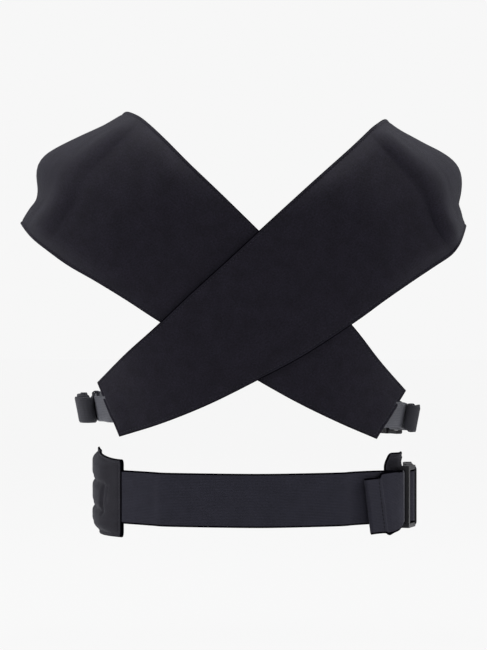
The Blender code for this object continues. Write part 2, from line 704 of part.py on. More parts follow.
def wing_base(wing, u, v):
    """Height of the cover's inner side above the lining's inner side."""
    ends = ramp((u - wing["foam_from"]) / 0.14) * ramp((0.98 - u) / 0.12)
    pad = WING_PAD_T * ends * ramp(min(v, 1 - v) / 0.13)
    band = wing["band_room"] * ramp((0.17 - u) / 0.05)
    return OVER_LINING + band + pad + PLY_GAP * ramp(pad / 0.8)


def wing_flare(side, u, z):
    if side == "left":
        return 0.0
    return WING_FLARE * ramp((z - 31.3) / 6.5) * ramp((u + 0.08) / 0.3) * ramp((0.85 - u) / 0.3)


def wing_ply(side, part, low, high, mat, us, vs):
    """One layer of a wing between two heights, each a function of u and v."""
    wing = WINGS[side]

    def point(u, v, height):
        z = wing_z(wing, u, v)
        return waist(wing_phi(wing, u, v), height(u, v) + wing_flare(side, u, z), z)

    grids = [[[point(u, v, height) for v in vs] for u in us] for height in (low, high)]
    closed_sheet(f"{side}_wing_{part}", *grids, mat)


def make_wing(side):
    wing = WINGS[side]
    vs = wing["vs"]

    def base(u, v):
        return wing_base(wing, u, v)

    wing_ply(side, "cover", base, lambda u, v: base(u, v) + SHELL_T, WING_CLOTH, U_WING, vs)
    wing_ply(side, "lining", lambda u, v: 0.0, lambda u, v: LINING_T, LINING, U_WING, vs)
    wing_ply(side, "pad", lambda u, v: OVER_LINING,
             lambda u, v: max(OVER_LINING + MIN_PAD_T, base(u, v) - PLY_GAP),
             FOAM, [u for u in U_WING if wing["pad_from"] < u < 0.95], vs[1:-1])


# the anchor loop's two ends on the right wing: distance off the waist, angles
LOOP_INNER = 11.0, (105.5, 101.5, 98.5)
LOOP_OUTER = 13.6, (99.5, 102.0, 105.0)


def make_wing_anchor_loop():
    """Loop of webbing that ties the socket to the right wing."""
    inner, outer = (
        [waist(phi, off, 0) for phi in angles] for off, angles in (LOOP_INNER, LOOP_OUTER)
    )
    profile = [(3.0, -3.5), (0.0, -BELT.run_r)] + end_bar_turn(BELT) + [(4.0, 2.4)]
    points = inner + placed(BELT_PLACE, profile, BELT.end_bar) + outer
    ribbon("wing_anchor_loop", tape(points, BAND_W, BAND_T), WEBBING,
           origin=BELT_PLACE @ Vector((BELT.end_bar, 0, 0)))


for side in WINGS:
    make_wing(side)
make_wing_anchor_loop()

# ---- strap webbing and clips ---------------------------------------------------------------------
COIL_PITCH = 2.1
WEB_LEAN = math.radians(11.0)
WEB_ABOVE_GAP = 0.6      # webbing's inner side above the gap over the lining, inside the strap
# Keyed by the wearer's side. strap: the one that ends there. bar: the clip's main bar.
# outward: sign of x away from the wearer. leave: share of the strap's width where the webbing
# starts inside it. out: webbing from the strap to the clip. back: its tail from the clip to the
# coil, x, y, z.
CLIPS = {
    "left": dict(
        strap="right", bar=(-145.0, 134.0, 89.0), outward=-1, leave=0.58,
        out=[(-149.0, 43.5, 86.0), (-152.6, 50.0, 85.8), (-154.6, 61.0, 85.4),
             (-155.9, 72.0, 85.6), (-157.3, 84.0, 86.5), (-157.4, 94.0, 87.3),
             (-156.2, 104.0, 88.2)],
        back=[(-158.3, 104.3, 88.2), (-159.5, 94.0, 87.3), (-159.5, 84.0, 86.5),
              (-157.9, 72.0, 85.8)],
        coil=dict(centre=(-166.7, 62.5, 85.8), radii=(8.1, 8.1), turns=2.4, steps=34,
                  rise=(-1.6, 3.2)),
    ),
    "right": dict(
        strap="left", bar=(137.0, 124.0, 75.0), outward=1, leave=0.59,
        out=[(138.3, 28.5, 80.6), (142.0, 34.0, 79.6), (145.5, 44.0, 78.0),
             (149.4, 57.0, 76.7), (151.9, 69.0, 76.1), (152.6, 80.0, 75.8),
             (151.3, 94.0, 75.6)],
        back=[(153.4, 94.2, 75.6), (154.7, 80.0, 75.8), (155.4, 66.0, 76.4),
              (156.8, 54.0, 77.4)],
        coil=dict(centre=(149.7, 35.6, 77.6), radii=(7.7, 4.6), turns=1.3, steps=22,
                  heading=math.radians(45), slope=0.28),
    ),
}


def coil(centre, radii, turns, steps, rise=(0.0, 0.0), heading=0.0, slope=0.0):
    """Spiral wound inwards, clockwise in plan, from its +x end before it is turned by heading.

    rise: height at its start and end. slope: fall towards the wearer's right.
    """
    cos, sin = math.cos(heading), math.sin(heading)
    points = []
    for i in range(steps + 1):
        angle = -2 * math.pi * turns * i / steps
        size = 1 - COIL_PITCH * turns * i / steps / radii[0]
        x = radii[0] * size * math.cos(angle)
        y = radii[1] * size * math.sin(angle)
        right = x * cos - y * sin
        lift = lerp(*rise, ramp(i / steps)) - slope * right
        points.append(Vector(centre) + Vector((right, x * sin + y * cos, lift)))
    return points


def webbing_lead(clip):
    """Rows of the webbing inside the strap's lower end, up to the strap's end."""
    strap, leave = clip["strap"], clip["leave"]
    rows = []
    for t, middle in ((0.2, leave), (0.1, (0.5 + leave) / 2), (0.0, 0.5)):
        strap_width = (strap_point(strap, t, 0.0) - strap_point(strap, t, 1.0)).length
        half = WEB_W / 2 / strap_width
        row = [
            [raised(strap, t, v, OVER_LINING + height) for v in (middle + half, middle - half)]
            for height in (WEB_ABOVE_GAP, WEB_ABOVE_GAP + WEB_T)
        ]
        rows.append(row[::clip["outward"]])
    return rows


def make_strap_webbing(side, clip, place):
    """Webbing from the strap through the clip's ladder and back to a coil."""
    lean = Vector((math.sin(WEB_LEAN) * clip["outward"], 0, math.cos(WEB_LEAN)))
    stations = []
    for i, point in enumerate(clip["out"]):
        stations += tape([point], WEB_W, WEB_T, lean.lerp(UP, ramp((i - 2) / 3)))
    stations += tape(ladder_run(CLIP, place), WEB_W, WEB_T)
    for i, point in enumerate(clip["back"]):
        stations += tape([point], WEB_W, WEB_T, UP.lerp(lean, ramp((i - 1) / 2)))
    stations += tape(coil(**clip["coil"]), WEB_W, WEB_T, lean)
    ribbon(side + "_strap_webbing", stations, WEBBING, lead=webbing_lead(clip))


def make_clip_anchor_loop(side, place):
    """Loop round the socket's end bar, whose free end is sewn to the front panel."""
    r = CLIP.run_r
    profile = [(22.0, -1.0), (10.0, -1.0), (4.0, -r + 0.5), (0.0, -r)]
    profile += end_bar_turn(CLIP)
    profile += [(4.0, r - 0.6), (10.0, 0.9), (22.0, 0.9)]
    points = placed(place, profile, CLIP.end_bar)
    ribbon(side + "_clip_anchor_loop", tape(points, WEB_W, WEB_T), WEBBING,
           origin=place @ Vector((CLIP.end_bar, 0, 0)))


KEEPER_HALF_L = 4.0
KEEPER_WALL = 1.0


def make_keeper(side, clip):
    """Elastic keeper round the webbing and its tail."""
    out0, out1 = (Vector(p) for p in clip["out"][-2:])
    back0, back1 = (Vector(p) for p in clip["back"][:2])
    on_out, on_back = (out0 + out1) / 2, (back0 + back1) / 2
    middle = (on_out + on_back) / 2
    place = frame_matrix(middle, out1 - out0, UP)
    hole_x = abs(on_out.x - on_back.x) / 2 + WEB_T / 2 + 0.65     # half sizes of the hole
    hole_z = WEB_W / 2 + 0.6
    outer_x, outer_z = hole_x + KEEPER_WALL, hole_z + KEEPER_WALL
    keeper = prism(side + "_webbing_keeper",
                   box(-KEEPER_HALF_L, KEEPER_HALF_L, -outer_z, outer_z),
                   -outer_x, outer_x, ELASTIC, place, origin=middle)
    through = KEEPER_HALF_L + 2.0
    combine(keeper, "DIFFERENCE", side + "_keeper_hole",
            box(-through, through, -hole_z, hole_z), -hole_x, hole_x, place)


for side, clip in CLIPS.items():
    outward = clip["outward"]
    clip_place = frame_matrix(clip["bar"], along=(-0.45 * outward, 0.89, 0.0),
                              width=(0, 0, outward))
    make_strap_webbing(side, clip, clip_place)
    make_buckle(side + "_clip", CLIP, clip_place, top=outward)
    make_clip_anchor_loop(side, clip_place)
    make_keeper(side, clip)
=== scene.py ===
"""Looks of a cross-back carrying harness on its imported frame: padded straps, elastic belt band,
wings, webbing and buckles.

Z is up. The spine lies at y = 0 facing -Y, the chest is towards +Y and the wearer's right
towards +X. Lengths are in millimetres up to the stage section, which is in metres; meshes are
stored in metres. Each strap is named after its shoulder and ends at the opposite hip.
"""
import math
from functools import lru_cache
from types import SimpleNamespace

import bpy
import numpy as np
from mathutils import Matrix, Vector, noise


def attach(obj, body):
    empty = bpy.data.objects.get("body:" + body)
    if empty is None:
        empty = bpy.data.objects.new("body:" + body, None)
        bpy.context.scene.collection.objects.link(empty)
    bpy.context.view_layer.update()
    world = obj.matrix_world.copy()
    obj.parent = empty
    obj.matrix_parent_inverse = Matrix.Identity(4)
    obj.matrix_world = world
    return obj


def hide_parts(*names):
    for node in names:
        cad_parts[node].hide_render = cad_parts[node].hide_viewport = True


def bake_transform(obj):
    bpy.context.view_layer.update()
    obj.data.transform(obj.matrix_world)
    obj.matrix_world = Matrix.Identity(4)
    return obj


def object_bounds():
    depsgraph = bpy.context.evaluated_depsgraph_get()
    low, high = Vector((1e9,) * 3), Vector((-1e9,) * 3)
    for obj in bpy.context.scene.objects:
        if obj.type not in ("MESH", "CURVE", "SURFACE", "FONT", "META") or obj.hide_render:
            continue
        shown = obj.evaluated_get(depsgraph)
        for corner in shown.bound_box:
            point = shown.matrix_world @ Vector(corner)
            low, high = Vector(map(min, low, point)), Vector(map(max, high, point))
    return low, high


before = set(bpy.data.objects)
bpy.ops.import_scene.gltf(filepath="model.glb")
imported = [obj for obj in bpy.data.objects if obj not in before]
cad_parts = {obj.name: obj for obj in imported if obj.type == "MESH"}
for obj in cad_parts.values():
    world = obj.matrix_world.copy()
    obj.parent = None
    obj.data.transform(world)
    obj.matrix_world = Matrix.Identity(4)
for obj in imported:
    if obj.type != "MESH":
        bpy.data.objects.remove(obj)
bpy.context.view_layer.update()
MM = 0.001
Z = Vector((0, 0, 1))

# ---- shared sizes ------------------------------------------------------------------------------
BAND_WIDTH, TAIL_WIDTH, BAND_THICK = 50.0, 58.0, 2.0
WEB_WIDTH, WEB_THICK = 25.0, 1.5
LINING_THICK, PLY_GAP = 1.0, 0.3
WEB_RISE = 1.9                  # strap webbing and front tabs, beyond the face they are sewn to
TAB_RISE = LINING_THICK + PLY_GAP + WEB_RISE

# Eye point of the rear elevation; the camera stands there too.
VIEW_X, VIEW_DISTANCE, VIEW_Z = -12.0, 2400.0, 167.0

# Widths of the rounded rim, and where the rows of a padded piece's grid lie from its edge.
FOLD_WIDTH = 1.5
SEAM_INSET = 3.6
EDGE = [0.0, 0.45, 1.1, 2.0, 2.9, SEAM_INSET, 4.3, 5.4, 7.4, 10.5]
SEAM_ROW = EDGE.index(SEAM_INSET)


# ---- curves ------------------------------------------------------------------------------------
def ramp(t):
    t = max(0.0, min(1.0, t))
    return t * t * (3 - 2 * t)


def ramp_array(t):
    t = np.clip(t, 0.0, 1.0)
    return t * t * (3 - 2 * t)


def lerp(a, b, t):
    return a + (b - a) * t


def catmull(values, t):
    """Catmull-Rom curve through evenly spaced numbers or vectors; t counts them."""
    n = len(values)
    i = min(int(math.floor(t)), n - 2)
    f = t - i
    p0 = values[i - 1] if i > 0 else values[i] * 2 - values[i + 1]
    p1, p2 = values[i], values[i + 1]
    p3 = values[i + 2] if i + 2 < n else values[i + 1] * 2 - values[i]
    linear = (p2 - p0) * f
    square = (p0 * 2 - p1 * 5 + p2 * 4 - p3) * (f * f)
    cube = (p1 * 3 - p0 - p2 * 3 + p3) * (f * f * f)
    return 0.5 * (p1 * 2 + linear + square + cube)


def running_length(points):
    """Length along a line of points, at each of them."""
    return np.concatenate([[0], np.cumsum(np.linalg.norm(np.diff(points, axis=0), axis=1))])


def sample(values, lengths, at):
    """Rows of three values read at a length."""
    return np.array([np.interp(at, lengths, values[:, i]) for i in range(3)])


def frame_matrix(origin, along, width):
    """Placement with x along, y across and z outwards."""
    x = Vector(along).normalized()
    y = (Vector(width) - x * Vector(width).dot(x)).normalized()
    m = Matrix((x, y, x.cross(y))).transposed().to_4x4()
    m.translation = Vector(origin)
    return m


# ---- strap layout ------------------------------------------------------------------------------
# edges: rear elevation from the lower end up to the shoulder, (x, z) of the neck-side edge and
#   of the arm-side edge.
# crest: (x, z) where the strap turns over the shoulder, in even steps from neck side to arm side.
# chest: front side, (x, y, z) of the neck-side edge and of the arm-side edge.
STRAPS = {
    "left": SimpleNamespace(
        facing=1.0,
        edges=[
            ((141.5, 105.0), (114.2, 58.6)), ((117.5, 133.0), (77.7, 74.5)),
            ((92.0, 166.0), (39.7, 93.0)), ((60.0, 199.0), (1.7, 114.2)),
            ((31.0, 228.5), (-45.0, 142.0)), ((2.5, 257.0), (-91.5, 170.0)),
            ((-33.0, 291.5), (-124.5, 191.5)), ((-63.0, 320.0), (-153.0, 209.0)),
            ((-86.5, 343.5), (-178.0, 223.5)), ((-103.5, 359.0), (-198.2, 238.2)),
            ((-114.0, 366.0), (-213.0, 250.5)),
        ],
        crest=[
            (-122.5, 367.8), (-146.0, 356.5), (-170.0, 346.0), (-193.0, 334.5), (-207.0, 323.5),
            (-205.8, 304.7), (-208.5, 289.0), (-217.0, 277.3), (-222.3, 262.0),
        ],
        chest=[
            ((-121.0, 128.0, 356.0), (-215.0, 124.0, 255.0)),
            ((-115.0, 158.0, 333.0), (-199.0, 152.0, 243.0)),
            ((-106.0, 178.0, 303.0), (-176.0, 172.0, 231.0)),
            ((-97.0, 188.0, 268.0), (-152.0, 186.0, 218.0)),
        ]),
    "right": SimpleNamespace(
        facing=-1.0,
        edges=[
            ((-149.9, 112.9), (-129.3, 60.8)), ((-123.3, 140.3), (-88.2, 74.0)),
            ((-95.5, 165.5), (-44.7, 91.6)), ((-64.0, 195.5), (0.8, 114.2)),
            ((-30.0, 226.5), (48.0, 139.5)), ((3.0, 257.0), (95.0, 170.5)),
            ((31.0, 282.5), (121.0, 189.5)), ((61.0, 309.5), (146.0, 207.0)),
            ((88.0, 333.5), (169.0, 222.5)), ((104.0, 348.5), (185.0, 233.5)),
            ((113.5, 357.0), (193.0, 244.5)),
        ],
        crest=[
            (121.5, 361.2), (141.0, 350.5), (162.0, 339.0), (181.0, 329.5), (193.4, 319.0),
            (194.4, 302.3), (191.8, 287.0), (196.8, 273.2), (197.8, 259.5),
        ],
        chest=[
            ((120.0, 128.0, 350.0), (194.0, 124.0, 251.0)),
            ((114.0, 158.0, 329.0), (183.0, 152.0, 240.0)),
            ((106.0, 178.0, 300.0), (166.0, 172.0, 229.0)),
            ((97.0, 188.0, 266.0), (147.0, 186.0, 219.0)),
        ]),
}
CREST_AT = len(STRAPS["left"].edges)                # station number of the shoulder line
LAST = CREST_AT + len(STRAPS["left"].chest)         # station number of the front end
CREST_Y = 95.0
CREST_INSET = 10.0
CREST_SHARE = {8: 0.04, 9: 0.22, 10: 0.58, 12: 0.82, 13: 0.42, 14: 0.14}  # crest bow, by station
CHEST_BULGE = 16.0
CROSS_LIFT, REST_LIFT = 5.6, 0.6                    # right strap at the crossing; elsewhere
CROSS_X, CROSS_Z = 2.0, 185.0


def carried(x, z, y):
    """A point of the rear elevation, carried along its line of sight to depth y."""
    k = 1 + y / VIEW_DISTANCE
    return Vector((VIEW_X + (x - VIEW_X) * k, y, VIEW_Z + (z - VIEW_Z) * k))


def back_depth(x, z):
    """y of the rounded back, which closes in towards its sides and its top."""
    half_width = lerp(158.0, 222.0, ramp((z - 95) / 165))
    depth = CREST_Y + 24.0 * ramp(z / 200)
    side = abs(x / half_width) ** 3
    top = max(0.0, (z - 260.0) / 120.0) ** 2
    return CREST_Y - depth * math.sqrt(max(0.0, 1 - side - top))


def strap_lift(side, x, z):
    """How far the strap's inner face stands off the back."""
    if side == "left":
        return REST_LIFT
    r = math.hypot(x - CROSS_X, (z - CROSS_Z) * 1.05)
    return lerp(CROSS_LIFT, REST_LIFT, ramp((r - 108.0) / 70.0))


@lru_cache(maxsize=None)
def strap_row(side, station, v):
    """Inner face at a whole station; v runs from 0 on the neck side to 1 on the arm side."""
    strap = STRAPS[side]
    crest = [Vector(p) for p in strap.crest]
    chord = crest[-1] - crest[0]
    bow = catmull(crest, v * (len(crest) - 1)) - (crest[0] + chord * v)
    outward = Vector((chord.y, -chord.x)).normalized() * strap.facing
    bow -= outward * CREST_INSET * ramp(min(v, 1 - v) / 0.15)
    if station == CREST_AT:
        p = crest[0] + chord * v + bow
        return carried(p.x, p.y, CREST_Y)
    share = CREST_SHARE.get(station, 0.0)
    if station < CREST_AT:
        neck, arm = (Vector(q) for q in strap.edges[station])
        p = neck + (arm - neck) * v + bow * share
        return carried(p.x, p.y, back_depth(p.x, p.y) - strap_lift(side, p.x, p.y))
    neck, arm = (Vector(q) for q in strap.chest[station - CREST_AT - 1])
    p = neck + (arm - neck) * v
    ahead = 4 * v * (1 - v) * CHEST_BULGE * ramp((LAST + 0.5 - station) / 3.5)
    return carried(p.x + bow.x * share, p.z + bow.y * share, p.y + ahead)


def strap_point(side, t, v):
    """Inner face at station t, any number from 0 (lower end) to LAST (front end)."""
    i = min(int(math.floor(t)), LAST - 1)
    p1, p2 = strap_row(side, i, v), strap_row(side, i + 1, v)
    p0 = strap_row(side, i - 1, v) if i > 0 else p1 * 2 - p2
    p3 = strap_row(side, i + 2, v) if i + 2 <= LAST else p2 * 2 - p1
    return catmull([p0, p1, p2, p3], 1 + (t - i))


def strap_normal(side, t, v):
    """Direction from the inner face towards the outer one."""
    t0, t1 = max(0.0, t - 0.05), min(float(LAST), t + 0.05)
    v0, v1 = max(0.0, v - 0.02), min(1.0, v + 0.02)
    along = strap_point(side, t1, v) - strap_point(side, t0, v)
    across = strap_point(side, t, v1) - strap_point(side, t, v0)
    return along.cross(across).normalized() * STRAPS[side].facing


# ---- waist and wing layout ---------------------------------------------------------------------
# Plan of the waist: a superellipse with its own half sizes right, left, behind and in front.
WAIST_X = -6.5
WAIST_RIGHT, WAIST_LEFT = 142.5, 145.8
WAIST_REAR, WAIST_FRONT_LEFT = 110.0, 230.0
WAIST_POWER = 2.6
FRONT_SPREAD = 0.12             # outward lean of the left side ahead of the widest point


def waist(phi, off=0.0):
    """Plan point (x, y) at phi degrees, 0 at the spine, +90 the wearer's right; off outwards."""
    a = WAIST_RIGHT if phi > 0 else WAIST_LEFT
    b = WAIST_REAR if phi > -90 else WAIST_FRONT_LEFT
    s, c = math.sin(math.radians(phi)), math.cos(math.radians(phi))
    e = 2 / WAIST_POWER
    px = math.copysign(abs(s) ** e, s)
    py = -math.copysign(abs(c) ** e, c)
    normal = Vector((math.copysign(abs(px) ** (WAIST_POWER - 1), px) / a,
                     math.copysign(abs(py) ** (WAIST_POWER - 1), py) / b))
    normal.normalize()
    spread = FRONT_SPREAD * max(0.0, b * py) if phi < -90 else 0.0
    return Vector((WAIST_X + a * px - spread, WAIST_REAR + b * py)) + normal * off


def on_waist(phi, off, z):
    q = waist(phi, off)
    return Vector((q.x, q.y, z))


# angles, top and bottom: values at the rear and front ends; the top changes from top_from on.
# corner, reach: height and length of the rounded rear corners.
# pad_edge, pad_rear: where the padding starts and over what length it rises.
# seams: heights of the long seams. rows: short upright ones, (from rear, top, bottom, depth).
WINGS = {
    "left": SimpleNamespace(
        angles=(-51.0, -98.0), top=(37.6, 44.0), top_from=0.0, bottom=(-37.6, -38.5),
        flare=0.0, corner=6.0, reach=3.2, pad_edge=(3.6, 6.5), pad_rear=(9.0, 27.0),
        pad_height=5.2, rear_height=2.3, lump_seed=7, seams=(12.5, -13.3),
        rows=((27.0, 12.0, -16.0, 0.8), (20.5, 11.0, -5.0, 0.45))),
    "right": SimpleNamespace(
        angles=(62.5, 106.0), top=(42.6, 26.0), top_from=0.5, bottom=(-38.0, -35.0),
        flare=6.4, corner=11.0, reach=20.0, pad_edge=(3.9, 9.0), pad_rear=(5.0, 13.0),
        pad_height=5.9, rear_height=0.0, lump_seed=8, seams=(), rows=()),
}


# ---- buckle layout -----------------------------------------------------------------------------
class Buckle:
    """Side-release buckle. x runs from the ladder end towards the socket, y across, z outwards;
    the origin is the main bar."""

    def __init__(self, scale, bar_radius, web_thick, rear_bar):
        bar_gap = 0.4
        self.wrap = bar_radius + bar_gap + web_thick / 2       # radius of the webbing's middle
        self.tail_z = -self.wrap + web_thick + 0.35
        self.rear_bar = rear_bar
        self.deck_rear = bar_radius + bar_gap + web_thick + 1.2
        deck_front = self.deck_rear + 6.5 * scale
        socket_wall = deck_front + (51.3 - 13.0) * scale
        self.end_bar = socket_wall + self.wrap + web_thick / 2 + 0.6


BELT = Buckle(scale=1.0, bar_radius=2.2, web_thick=BAND_THICK, rear_bar=-19.0)
CLIP = Buckle(scale=0.62, bar_radius=1.7, web_thick=WEB_THICK, rear_bar=-13.2)

BELT_BAR = (152.3, 70.0, 0.0)
LADDER_BEND = 18.0              # degrees, towards the wearer about the deck's rear edge
belt_place = frame_matrix(BELT_BAR, along=(0, 1, 0), width=(0, 0, 1))
belt_ladder = (belt_place @ Matrix.Translation((BELT.deck_rear, 0, 0))
               @ Matrix.Rotation(math.radians(-LADDER_BEND), 4, "Y")
               @ Matrix.Translation((-BELT.deck_rear, 0, 0)))


def ladder_run(buckle, place):
    """Webbing in along the wearer's side, round the main bar and out under the rear bar."""
    r, rear = buckle.wrap, buckle.rear_bar
    k = r / BELT.wrap
    flat = [(rear - 3 * k, -r), (rear * 0.55, -r), (0.0, -r)]
    for degrees in (-60, -30, 0, 30, 60, 90):
        a = math.radians(degrees)
        flat.append((r * math.cos(a), r * math.sin(a)))
    flat += [(-2.6 * k, 3.2 * k), (-6.2 * k, 1.0 * k), (-9.2 * k, buckle.tail_z + 0.35),
             (-11.5 * k, buckle.tail_z), (rear - 2 * k, buckle.tail_z)]
    return [place @ Vector((x, 0, z)) for x, z in flat]


PAST_BAR = 6                    # point of ladder_run just round the main bar


def end_bar_loop(buckle, place, before, after):
    """Webbing round the socket's end bar; before and after are (x, z) from that bar."""
    r = buckle.wrap
    turn = [math.radians(a) for a in range(0, 181, 30)]
    flat = before + [(-r * math.sin(a), -r * math.cos(a)) for a in turn] + after
    return [place @ Vector((buckle.end_bar + x, 0, z)) for x, z in flat]


# ---- materials ---------------------------------------------------------------------------------
class Shader:
    """Shorthand for building the node tree of a material or a world."""

    def __init__(self, owner, main="Principled BSDF"):
        owner.use_nodes = True
        self.owner = owner
        self.tree = owner.node_tree
        self.main = self.tree.nodes[main]

    def feed(self, socket, value):
        if isinstance(value, bpy.types.NodeSocket):
            self.tree.links.new(value, socket)
        else:
            socket.default_value = value

    def add(self, kind, *inputs, **named):
        """inputs go to sockets in order; Capitalised names are sockets, the rest settings."""
        node = self.tree.nodes.new("ShaderNode" + kind)
        sockets = {}
        for name, value in named.items():
            if name[0].islower():
                setattr(node, name, value)
            else:
                sockets[name] = value
        for key, value in [*enumerate(inputs), *sockets.items()]:
            self.feed(node.inputs[key], value)
        return node

    def set(self, name, value):
        self.feed(self.main.inputs[name], value)

    def math(self, operation, a, b=0.0, c=0.0):
        return self.add("Math", a, b, c, operation=operation).outputs[0]

    def mix(self, factor, a, b):
        node = self.add("Mix", factor, data_type="RGBA")
        for socket, colour in ((node.inputs[6], a), (node.inputs[7], b)):
            self.feed(socket, (*colour, 1.0) if isinstance(colour, tuple) else colour)
        return node.outputs[2]

    def range(self, value, *limits):
        """Maps value; limits: from min, from max, to min, to max."""
        return self.add("MapRange", value, *limits).outputs[0]

    def noise(self, vector, **settings):
        return self.add("TexNoise", Vector=vector, **settings).outputs[0]

    def scaled(self, vector, factor):
        return self.add("VectorMath", vector, operation="SCALE", Scale=factor).outputs[0]

    def xy(self, vector):
        return self.add("SeparateXYZ", vector).outputs[:2]

    def sine(self, value, period):
        """0 to 1 wave."""
        angle = self.math("MULTIPLY_ADD", value, 2 * math.pi / period, 0.0)
        return self.math("MULTIPLY_ADD", self.math("SINE", angle), 0.5, 0.5)


def new_material(name):
    return Shader(bpy.data.materials.new(name))


def twill(n, mm, pitch):
    """Diagonal ribs at 45 degrees, broken into short floats."""
    x, y = n.xy(mm)
    c, s = math.cos(math.radians(45.0)), math.sin(math.radians(45.0))
    d = n.math("ADD", n.math("MULTIPLY", x, c), n.math("MULTIPLY", y, s))
    e = n.math("SUBTRACT", n.math("MULTIPLY", y, c), n.math("MULTIPLY", x, s))
    rib = n.sine(d, pitch)
    floats = n.sine(n.math("ADD", e, n.math("MULTIPLY", d, 0.35)), pitch * 1.7)
    return n.math("MULTIPLY_ADD", floats, 0.3, n.math("MULTIPLY", rib, 0.7))


def corded(n, mm, pitch):
    """Elastic: cords along the band, closed by fine cross stitches."""
    x, y = n.xy(mm)
    cord = n.sine(y, pitch)
    waver = n.math("MULTIPLY", n.sine(y, pitch * 2), pitch * 0.3)
    cross = n.sine(n.math("ADD", x, waver), pitch * 0.75)
    rounded = n.math("MULTIPLY", n.math("POWER", cord, 0.6), 0.65)
    return n.math("MULTIPLY_ADD", cross, 0.35, rounded)


def herringbone(n, mm, pitch):
    x, y = n.xy(mm)
    zigzag = n.sine(n.math("ADD", x, n.math("PINGPONG", y, pitch * 2.2)), pitch)
    return n.math("MULTIPLY_ADD", zigzag, 0.6, n.math("MULTIPLY", n.sine(y, pitch * 1.1), 0.4))


def spacer_mesh(n, mm, pitch):
    """Rows of small holes."""
    cells = n.add("TexVoronoi", Vector=mm, Scale=1.0 / pitch, Randomness=0.12).outputs[0]
    return n.range(cells, 0.12, 0.42, 0.0, 1.0)


def fabric(name, base, pattern, pitch, rough, sheen, bump,
           depth=0.12, mottled=0.16, spec=0.1, grain=0.0, light=None):
    """Cloth whose pattern runs in millimetres along the piece, from its UV map. depth, mottled
    and grain: shading by the pattern, in broad patches and in specks; light: the paler tint."""
    n = new_material(name)
    mm = n.scaled(n.add("UVMap").outputs[0], 1000.0)
    fuzz = n.noise(mm, Scale=1.4, Detail=3.0, Roughness=0.7)
    blotch = n.noise(mm, Scale=0.06, Detail=5.0, Roughness=0.6)
    relief = pattern(n, mm, pitch)
    height = n.math("MULTIPLY_ADD", fuzz, 0.35, relief)
    value = n.math("MULTIPLY", n.range(blotch, 0.3, 0.7, 1.0 - mottled, 1.0 + mottled),
                   n.range(relief, 0.0, 1.0, 1.0 - 2.2 * depth, 1.0 + depth))
    value = n.math("MULTIPLY", value, n.range(fuzz, 0.3, 0.7, 0.9, 1.1))
    if grain:
        speck = n.noise(mm, Scale=0.62, Detail=2.5, Roughness=0.7)
        speck = n.range(speck, 0.32, 0.68, 1.0 - grain, 1.0 + grain)
        value = n.math("MULTIPLY", value, speck)
    light = light or tuple(min(1.0, c * 1.5 + 0.002) for c in base)
    fine = n.noise(mm, Scale=0.35, Detail=4.0, Roughness=0.75)
    tint = n.mix(n.range(fine, 0.45, 0.75, 0.0, 0.35), base, light)
    n.set("Base Color", n.scaled(tint, value))
    n.set("Roughness", n.range(fine, 0.3, 0.7, rough - 0.06, min(1.0, rough + 0.06)))
    n.set("Specular IOR Level", spec)
    n.set("Sheen Weight", sheen)
    n.set("Sheen Roughness", 0.45)
    n.set("Sheen Tint", (0.75, 0.78, 0.9, 1.0))
    weave = n.add("Bump", Strength=bump, Distance=0.00022, Height=height)
    broad = n.noise(mm, Scale=0.11, Detail=3.0)
    waves = n.add("Bump", Strength=0.35, Distance=0.0012, Height=broad, Normal=weave.outputs[0])
    n.set("Normal", waves.outputs[0])
    return n.owner


def thread(name, base, rough):
    n = new_material(name)
    coords = n.add("TexCoord").outputs["Object"]
    fibre = n.noise(coords, Scale=2600.0, Detail=2.0)
    n.set("Base Color", n.mix(fibre, base, tuple(min(1.0, c * 1.8) for c in base)))
    n.set("Roughness", rough)
    n.set("Sheen Weight", 0.04)
    n.set("Specular IOR Level", 0.15)
    n.set("Normal", n.add("Bump", Strength=0.4, Distance=0.0001, Height=fibre).outputs[0])
    return n.owner


def moulded(name, base, rough):
    """Satin plastic with a fine grain, painted lighter in patches along its edges as an edge
    highlight.
    """
    n = new_material(name)
    coords = n.add("TexCoord").outputs["Object"]
    grain = n.noise(coords, Scale=2200.0, Detail=3.0)
    cloud = n.noise(coords, Scale=60.0, Detail=4.0)
    glint_patches = n.noise(coords, Scale=420.0, Detail=6.0, Roughness=0.8)
    # The painted edge highlight shows where the bevelled normal turns away from the true one.
    rounded = n.add("Bevel", samples=4, Radius=0.0007).outputs[0]
    true_normal = n.add("NewGeometry").outputs["Normal"]
    turned = n.add("VectorMath", rounded, true_normal, operation="DOT_PRODUCT").outputs["Value"]
    edge_glint = n.math("MULTIPLY", n.range(turned, 0.99, 0.86, 0.0, 1.0),
                  n.range(glint_patches, 0.42, 0.62, 0.15, 1.0))
    clouded = n.mix(cloud, base, tuple(c * 1.25 for c in base))
    n.set("Base Color", n.mix(edge_glint, clouded, tuple(c * 2.0 + 0.006 for c in base)))
    n.set("Roughness", n.math("ADD", n.range(cloud, 0.3, 0.7, rough - 0.05, rough + 0.06),
                              n.math("MULTIPLY", edge_glint, 0.12)))
    n.set("Specular IOR Level", 0.14)
    bump = n.add("Bump", Strength=0.22, Distance=0.00006, Height=grain, Normal=rounded)
    n.set("Normal", bump.outputs[0])
    return n.owner


